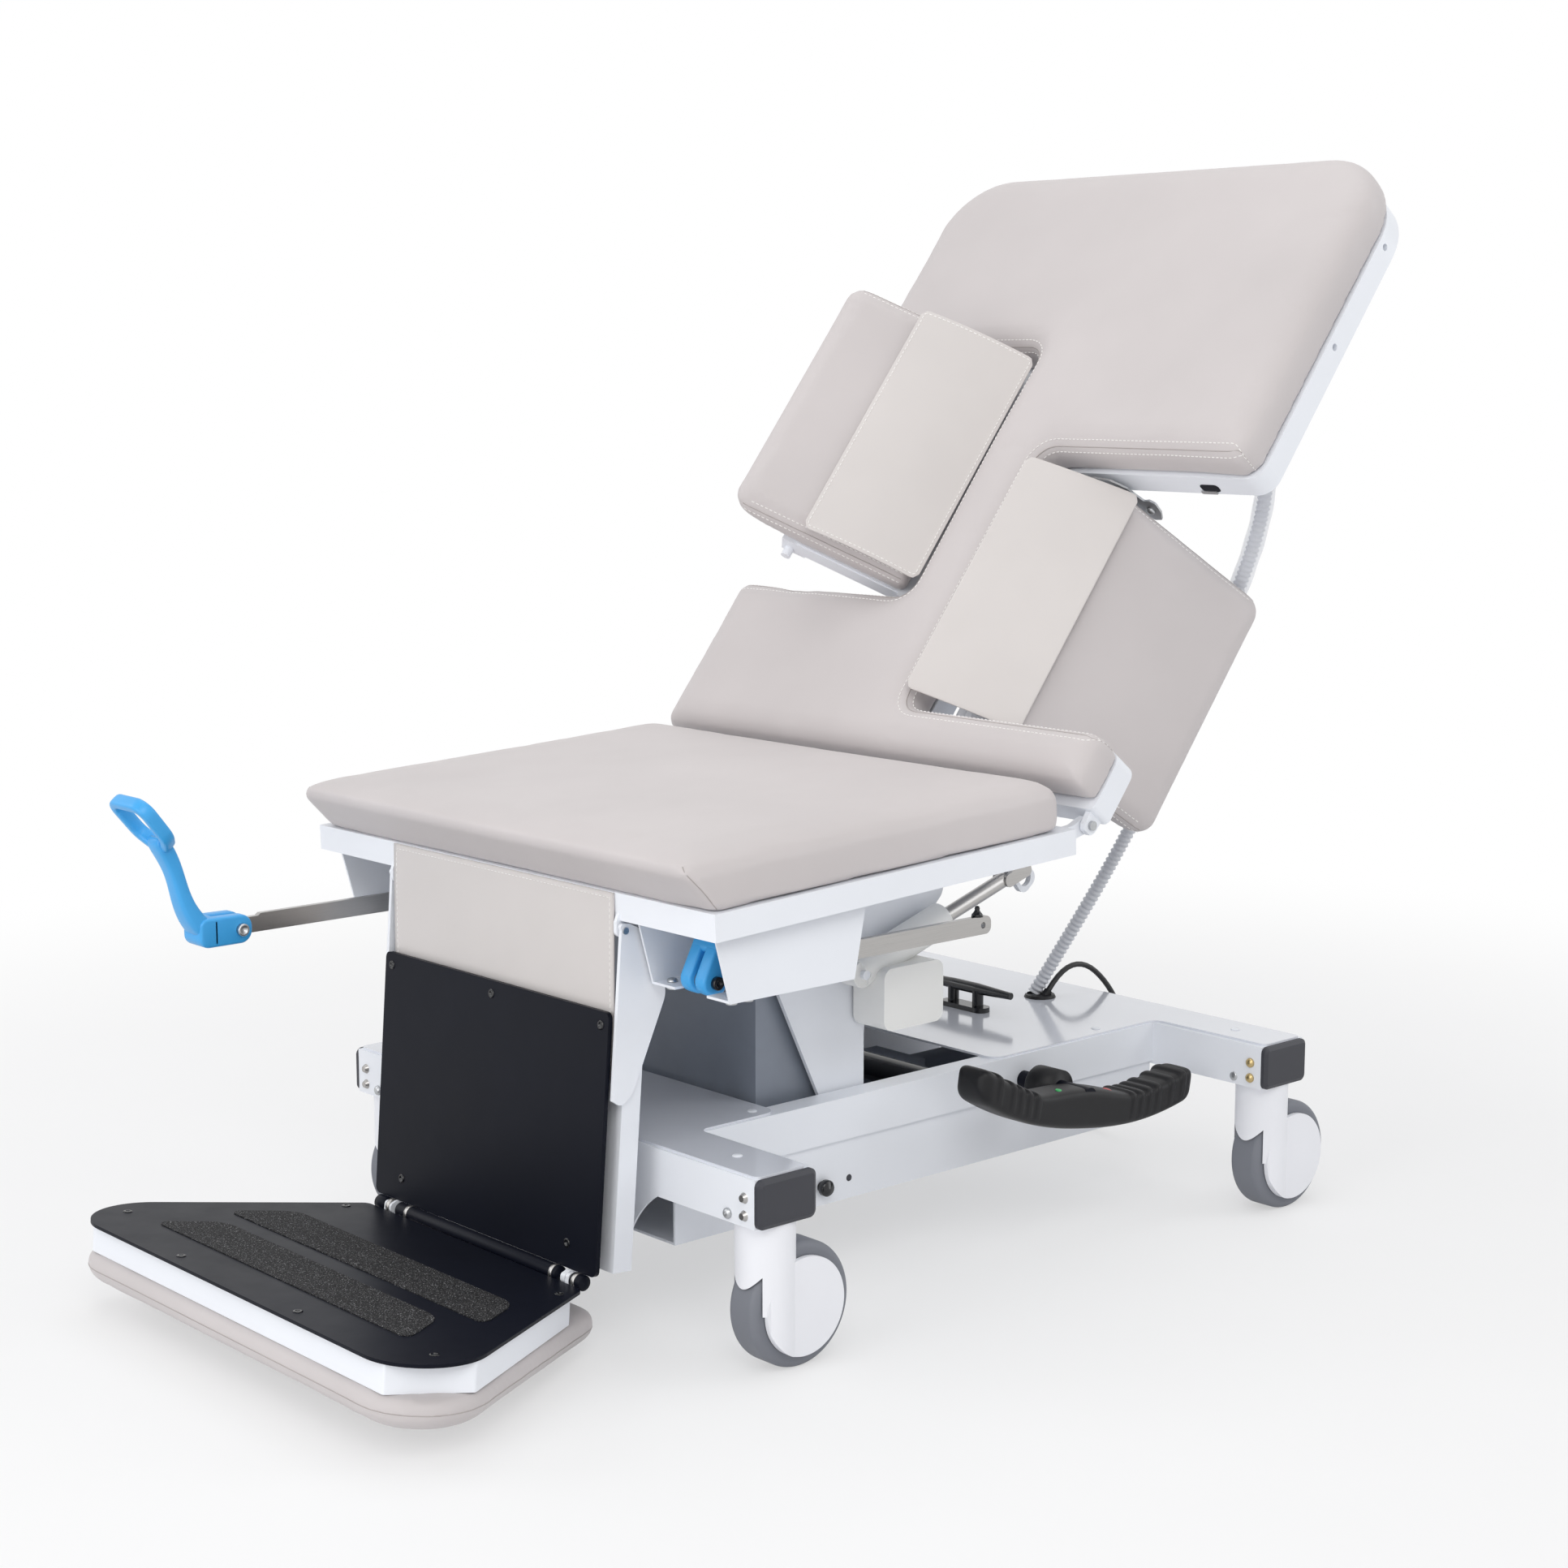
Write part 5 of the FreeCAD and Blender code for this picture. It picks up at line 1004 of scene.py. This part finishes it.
footScrews = [(x, s * y, -0.4190) for x, y in ((-0.305, 0.330), (-0.346, 0.127), (-0.058, 0.222)) for s in sides]
legScrews = [(-0.011, s * y, z) for y, z in ((0.171, -0.378), (0.213, -0.112)) for s in sides]
legScrews.append((-0.011, 0.0, -0.112))
coverPlugs = [(a * x, b * y, 0.244) for x, y in ((0.452, 0.322), (0.314, 0.190)) for a in sides for b in sides]
pocketBolts = [(x, s * 0.309 + y, 0.4447) for x in (-0.494, -0.470) for s in sides for y in (-0.052, 0.052)]
rearBolts = [(0.408, s * 0.384, z) for z in (0.196, 0.217) for s in sides]
for name, places, axis, shape, finish, body in (
        ("footScrews", onLeg(footScrews), legFrame[1][2], "screw", "black_gloss", "foot"),
        ("legScrews", onLeg(legScrews), -legFrame[1][0], "screw", "black_gloss", "leg"),
        ("coverPlugs", coverPlugs, upward, "plug", "white_coat", "base"),
        ("frontBeamBolts", [(-0.496, s * 0.356, 0.193) for s in sides], toFoot, "dome", "zinc", "base"),
        ("pocketBoltHeads", pocketBolts, upward, "dome", "zinc", "carriage"),
        ("skirtKnob", [(-0.215, -0.208, 0.1323)], toNear, "knob", "black_gloss", "base"),
        ("skirtPlug", [(-0.168, -0.208, 0.1342)], toNear, "disc", "charcoal", "base"),
        ("nearLoopBolt", [(-0.491, -0.331, 0.455)], toNear, "socket", "black_gloss", "loop_near"),
        ("farLoopBolt", [(-0.735, 0.287, 0.455)], toNear, "socket", "zinc", "loop_far"),
        ("barKnobNear", [(-0.046, -0.309, 0.4678)], upward, "barKnob", "black_gloss", "stirrup_near"),
        ("barKnobFar", [(-0.290, 0.309, 0.4678)], upward, "barKnob", "black_gloss", "stirrup_far"),
        ("hingeBarrels", onHinge((-0.203, -0.160, 0.140, 0.180)), toFar, "barrel", "stainless", "foot"),
        ("hingeTube", onHinge((-0.166,)), toFar, "tube", "black_plate", "foot"),
        ("hingeCaps", onHinge((-0.212, 0.193)), toFar, "cap", "black_plate", "foot"),
        ("rearBeamBolts", rearBolts, toFoot, "dome", "brass", "base"),
        ("rearBeamScrews", [(0.408, s * 0.356, 0.193) for s in sides], toFoot, "plug", "zinc", "base")):
    makeTurned(name, places, axis, turnedShapes[shape], finish, body)
print("screws, plugs and bolts set")

# foot loops: a wide ring on an arm, with a two-cheek knuckle on the bar's end
loopFacts = {"lean": 128.5, "around": 24, "band": 0.0062, "deep": 0.0088, "middle": 0.002, "ringBoxy": 0.55,
             "ring": [(0.219, -0.037), (0.219, 0.037), (0.166, 0.033), (0.149, 0.016), (0.149, -0.016),
                      (0.166, -0.033)],
             "turns": [0.015, 0.015, 0.024, 0.016, 0.016, 0.024],
             "arm": [(-0.034, 0.002), (-0.052, 0.012), (-0.066, 0.036), (-0.075, 0.062), (-0.082, 0.086),
                     (-0.093, 0.108), (-0.098, 0.120)], "armRows": 60, "armBoxy": 0.5,
             "armHalf": [0.014, 0.0125, 0.0100, 0.0092, 0.0092, 0.0105, 0.0085],
             "armDeep": [0.0205, 0.0200, 0.0165, 0.0140, 0.0135, 0.0150, 0.0140],
             "web": [(-0.057, -0.018), (-0.030, -0.018), (-0.030, 0.019), (-0.057, 0.019)],
             "webTurns": [0.013, 0.006, 0.006, 0.010], "webHalf": 0.022, "soft": 0.004,
             "cheek": [(-0.040, -0.018), (0.016, -0.018), (0.016, 0.018), (-0.040, 0.019)],
             "cheekTurns": [0.006, 0.016, 0.016, 0.006], "cheekLows": (-0.022, 0.0036), "cheekThick": 0.0184}


# ring: a rounded box section carried round a closed line, in the ring's own leaning plane
def loopRing():
    f = loopFacts
    line = roundOutline(f["ring"], f["turns"])
    ahead = np.roll(line, -1, 0) - np.roll(line, 1, 0)
    ahead /= np.linalg.norm(ahead, axis=1, keepdims=True)
    flat, tall = boxSection(f["around"], f["ringBoxy"])
    out = np.stack([ahead[:, 1], -ahead[:, 0]], -1)
    spots = line[:, None] + out[:, None] * (f["band"] * flat)[None, :, None]
    high = np.broadcast_to(f["middle"] + f["deep"] * tall, spots.shape[:2])
    points = intoWorld(sectionFrame((0, 0, 0), f["lean"]), np.stack([spots[..., 0], spots[..., 1], high], -1))
    return points.reshape(-1, 3), ringFaces(len(line), f["around"])


# arm: a rounded box section carried along a smooth line from the knuckle to the ring
def loopArm():
    f = loopFacts
    t = np.linspace(0, 1, len(f["arm"]))
    fine = np.linspace(0, 1, f["armRows"])
    curve = np.polyfit(t, np.array(f["arm"]), 5)
    line = np.stack([np.polyval(curve[:, k], fine) for k in range(2)], -1)
    half, deep = [np.polyval(np.polyfit(t, f[key], 4), fine) for key in ("armHalf", "armDeep")]
    ahead = np.gradient(line, axis=0)
    ahead /= np.linalg.norm(ahead, axis=1, keepdims=True)
    flat, tall = boxSection(f["around"], f["armBoxy"])
    side = np.stack([ahead[:, 1], -ahead[:, 0]], -1)
    spots = line[:, None] + side[:, None] * (half[:, None] * flat)[..., None]
    points = np.stack([spots[..., 0], deep[:, None] * tall, spots[..., 1]], -1)
    return points.reshape(-1, 3), flipped(shellFaces(f["armRows"], f["around"]))


# a moulded plate between two sides, its edges rounded by a quarter circle
def mouldedPlate(corners, radii, low, high):
    turn = np.linspace(0, np.pi / 2, 5)
    soft = loopFacts["soft"]
    rise, pull = soft * (1 - np.cos(turn)), soft * (1 - np.sin(turn))
    heights = np.concatenate([low + rise, high - rise[::-1]])
    rings = [roundOutline(corners, radii, inset) for inset in np.concatenate([pull, pull[::-1]])]
    points = np.array([atHeight(ring, y)[:, [0, 2, 1]] for ring, y in zip(rings, heights)])
    return points.reshape(-1, 3), flipped(shellFaces(len(rings), len(rings[0])))


def makeLoop(name, node, pivot, fold, body):
    f = loopFacts
    web = mouldedPlate(f["web"], f["webTurns"], -f["webHalf"], f["webHalf"])
    cheeks = [mouldedPlate(f["cheek"], f["cheekTurns"], low, low + f["cheekThick"]) for low in f["cheekLows"]]
    shells = [loopRing(), loopArm(), web] + cheeks
    starts = np.concatenate([[0], np.cumsum([len(points) for points, _ in shells])])
    faces = [[v + int(start) for v in face] for (_, part), start in zip(shells, starts) for face in part]
    points = intoWorld(sectionFrame(pivot, -fold), np.concatenate([points for points, _ in shells]))
    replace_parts(makePiece(name, points, faces, "blue", body), node)


makeLoop("footLoopFar", "stirrup_loop_far", (-0.735, 0.309, 0.455), 0.0, "loop_far")
makeLoop("footLoopNear", "stirrup_loop_near", (-0.491, -0.309, 0.455), 117.0, "loop_near")
print("foot loops moulded")

# zinc ratchet link at the near pad's upper end, in the gap between the pad and the back frame
linkFacts = {"x": 0.5095, "thick": 0.003, "round": 0.003, "steps": 4, "rivets": [(-0.150, -0.008), (-0.176, -0.052)],
             "outline": [(-0.0805, 0.0204), (-0.0975, 0.0147), (-0.1180, 0.0190), (-0.1449, 0.0141),
                         (-0.1653, -0.0040), (-0.1705, -0.0190), (-0.1765, -0.0321), (-0.1860, -0.0300),
                         (-0.1928, -0.0375),
                         (-0.1905, -0.0570), (-0.1815, -0.0738), (-0.1684, -0.0747), (-0.1497, -0.0499),
                         (-0.1309, -0.0252), (-0.1023, -0.0074), (-0.0850, 0.0050)]}
linkLine = roundOutline(linkFacts["outline"][::-1], [linkFacts["round"]] * 16, 0.0, linkFacts["steps"])
makePlate("ratchetLink", linkFacts["x"], linkLine, linkFacts["thick"], "zinc", "pad_near")
linkRivets = intoWorld(backFrame, [(linkFacts["x"], y, z) for y, z in linkFacts["rivets"]])
makeTurned("ratchetRivets", linkRivets, -backFrame[1][0], turnedShapes["dome"], "zinc", "pad_near")

# keyhole on the back frame's edge that faces the near pad, a thin black plate of painted shade where its recess is,
# with its latch tongue: sides, low, high and corner
latchFacts = {"keyholeShade": (0.5175, (-0.3195, -0.2885), -0.013, 0.002, 0.006, 0.0003, "black_plate"),
              "keyholeTongue": (0.5160, (-0.3120, -0.2850), -0.017, -0.011, 0.002, 0.0015, "zinc")}
for name, (x, (left, right), low, high, corner, thick, finish) in latchFacts.items():
    outline = roundOutline([(left, low), (right, low), (right, high), (left, high)], [corner] * 4)
    makePlate(name, x, outline, thick, finish, "back")
print("link and keyhole made")

# pedal: sections along its length, a rounded box that sags in the middle, with ridges across both ends
pedalFacts = {"shaft": (0.145, 0.207), "rock": 9.5, "half": 0.208, "inner": 0.278, "outer": 0.338, "rows": 421,
              "around": 40, "boxy": 0.42, "round": 0.020, "skin": 0.0022, "ridge": 0.0032, "ridgeHalf": 0.0050,
              "ridges": [-0.176, -0.150, -0.134, -0.118, -0.102, 0.086, 0.102, 0.118, 0.134, 0.160, 0.182],
              "hub": (0.145, -0.235, 0.207), "dotY": -0.320, "dotSunk": 0.0034, "dotLean": (0, -0.25, 0)}


def pedalTop(x):  # a low crown in the middle, a dip on each side of it, then a rise to both tips
    far = np.abs(x)
    crown, dip = 0.004 * np.exp(-(x / 0.05) ** 2), 0.006 * np.exp(-((far - 0.095) / 0.04) ** 2)
    return 0.0085 + crown - dip + 0.037 * (far / pedalFacts["half"]) ** 3.2


def pedalLow(x):  # a belly that rises to both tips
    return -0.044 + 0.040 * (np.abs(x) / pedalFacts["half"]) ** 2.3


rockCos, rockSin = math.cos(math.radians(pedalFacts["rock"])), math.sin(math.radians(pedalFacts["rock"]))


def pedalWorld(points):
    p = np.asarray(points, float)
    x, z = pedalFacts["shaft"]
    return np.stack([x + p[..., 0] * rockCos + p[..., 2] * rockSin, p[..., 1],
                     z - p[..., 0] * rockSin + p[..., 2] * rockCos], -1)


def makePedal():
    f = pedalFacts
    t = np.linspace(-1, 1, f["rows"])
    x = f["half"] * (0.7 * t + 0.3 * np.sin(t * np.pi / 2))  # closer rows at the tips
    ridge = np.max([np.exp(-((x - r) / f["ridgeHalf"]) ** 4) for r in f["ridges"]], 0)
    past = np.clip((np.abs(x) - f["half"] + f["round"]) / f["round"], 0, 1)
    taper = np.sqrt(np.clip(1 - past ** 2.4, 0.0004, 1))[:, None]
    top, low = pedalTop(x) - f["skin"], pedalLow(x) + 0.0004
    middle, tall = ((top + low) / 2)[:, None], ((top - low) / 2)[:, None]
    across, upward = boxSection(f["around"], f["boxy"])
    height = np.sin(np.linspace(0, 2 * np.pi, f["around"], endpoint=False))
    swell = f["ridge"] * ridge[:, None] * np.clip(0.35 + height, 0, 1)[None]
    halfWide = (f["outer"] - f["inner"]) / 2 - f["skin"]
    y = -(f["inner"] + f["outer"]) / 2 + halfWide * across[None] * taper ** 0.6 + across[None] * swell
    z = middle + tall * upward[None] * taper + upward[None] * swell
    points = pedalWorld(np.stack([np.broadcast_to(x[:, None], y.shape), y, z], -1))
    pedal = makePiece("lockPedal", points, flipped(shellFaces(f["rows"], f["around"])), "black_rubber", "pedal")
    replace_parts(pedal, "lock_pedal")
    makeTurned("pedalHub", [f["hub"]], toNear, turnedShapes["hub"], "black_rubber", "pedal", 32)
    lean = np.array([rockSin, 0, rockCos]) + f["dotLean"]
    for name, spot, finish in (("greenDot", -0.047, "sign_green"), ("redDot", 0.046, "sign_red")):
        place = pedalWorld([(spot, f["dotY"], float(pedalTop(np.array(spot))) - f["dotSunk"])])
        makeTurned(name, place, lean, turnedShapes["dot"], finish, "pedal")


makePedal()
print("pedal moulded")

# sleeve: a thin tube with a slight ripple over the upper hose's last run, outer skin and inner skin joined
sleeveFacts = {"from": 0.40, "to": 0.97, "rows": 120, "around": 24, "radius": 0.0145, "wall": 0.0008,
               "ripple": 0.0004, "waves": 40}


def makeSleeve():
    f = sleeveFacts
    count = len(upperLine)
    line = evenLine(upperLine[int(count * f["from"]):int(count * f["to"])], f["rows"])[0]
    circle = circlesAlong(line, f["around"])
    outer = (f["radius"] + f["ripple"] * np.sin(np.linspace(0, f["waves"], f["rows"])))[:, None, None]
    skin, lining = line[:, None] + circle * outer, line[:, None] + circle * (outer - f["wall"])
    points = np.concatenate([skin, lining[::-1]])
    sleeve = makePiece("hoseSleeve", points, ringFaces(2 * f["rows"], f["around"]), "sleeve")
    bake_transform(sleeve)


makeSleeve()
print("sleeve made")

# studio: a pale floor that turns white with distance, white surroundings, soft lamps
lampFacts = {"keyLamp": ((-2.6, -3.4, 3.6), 66.0, 2.6, (1.0, 0.99, 0.97)),
             "frontLamp": ((-4.2, -0.8, 1.5), 44.0, 2.4, (1.0, 1.0, 1.0)),
             "sideLamp": ((3.2, -3.0, 2.6), 36.0, 2.4, (0.96, 0.98, 1.0)),
             "topLamp": ((0.2, 0.6, 4.2), 40.0, 3.2, (1.0, 1.0, 1.0)),
             "backLamp": ((-2.8, 2.6, 2.4), 22.0, 2.0, (0.95, 0.97, 1.0))}
lampAim = Vector((0, 0, 0.6))
worldLight = 0.50
floorFacts = {"side": 40.0, "dark": (0.84, 0.84, 0.85, 1), "light": (0.86, 0.86, 0.87, 1),
              "fade": {"From Min": 1.1, "From Max": 2.8, "To Min": 0.50, "To Max": 1.0}}


def makeFloor():
    f = floorFacts
    a = f["side"]
    corners = [(-a, -a, 0), (a, -a, 0), (a, a, 0), (-a, a, 0)]
    floor = bpy.data.objects.new("studioFloor", makeMesh("studioFloor", corners, [[0, 1, 2, 3]], False))
    scene.collection.objects.link(floor)
    material, tree, shader = startMaterial("floorWhite", 0.9)
    here = objectPlace(tree)
    tree.links.new(ramp(tree, noiseAt(tree, here, 2.0), [(0.3, f["dark"]), (0.7, f["light"])]),
                   shader.inputs["Base Color"])
    reach = addNode(tree, "ShaderNodeVectorMath", operation="LENGTH")
    tree.links.new(here, reach.inputs[0])
    fade = addNode(tree, "ShaderNodeMapRange", interpolation_type="SMOOTHSTEP", **f["fade"])
    tree.links.new(reach.outputs["Value"], fade.inputs["Value"])
    glow = addNode(tree, "ShaderNodeEmission", Color=(1, 1, 1, 1), Strength=1.0)
    mixed = addNode(tree, "ShaderNodeMixShader")
    tree.links.new(mathNode(tree, "MULTIPLY", seenRays(tree), fade.outputs["Result"]), mixed.inputs["Fac"])
    tree.links.new(shader.outputs["BSDF"], mixed.inputs[1])
    tree.links.new(glow.outputs["Emission"], mixed.inputs[2])
    tree.links.new(mixed.outputs["Shader"], tree.nodes["Material Output"].inputs["Surface"])
    floor.data.materials.append(material)


def makeStudio():
    makeFloor()
    world = bpy.data.worlds.new("studioWorld")
    scene.world = world
    world.use_nodes = True
    tree = world.node_tree
    back = tree.nodes["Background"]
    back.inputs["Color"].default_value = (1, 1, 1, 1)
    tree.links.new(spread(tree, seenRays(tree), worldLight, 1.0), back.inputs["Strength"])
    for name, (place, power, size, tint) in lampFacts.items():
        lamp = bpy.data.lights.new(name, "AREA")
        lamp.energy = power
        lamp.size = size
        lamp.color = tint
        holder = bpy.data.objects.new(name, lamp)
        scene.collection.objects.link(holder)
        holder.location = place
        holder.rotation_euler = (lampAim - Vector(place)).to_track_quat("-Z", "Y").to_euler()
    scene.view_settings.view_transform = "Standard"


makeStudio()
print("studio lit")
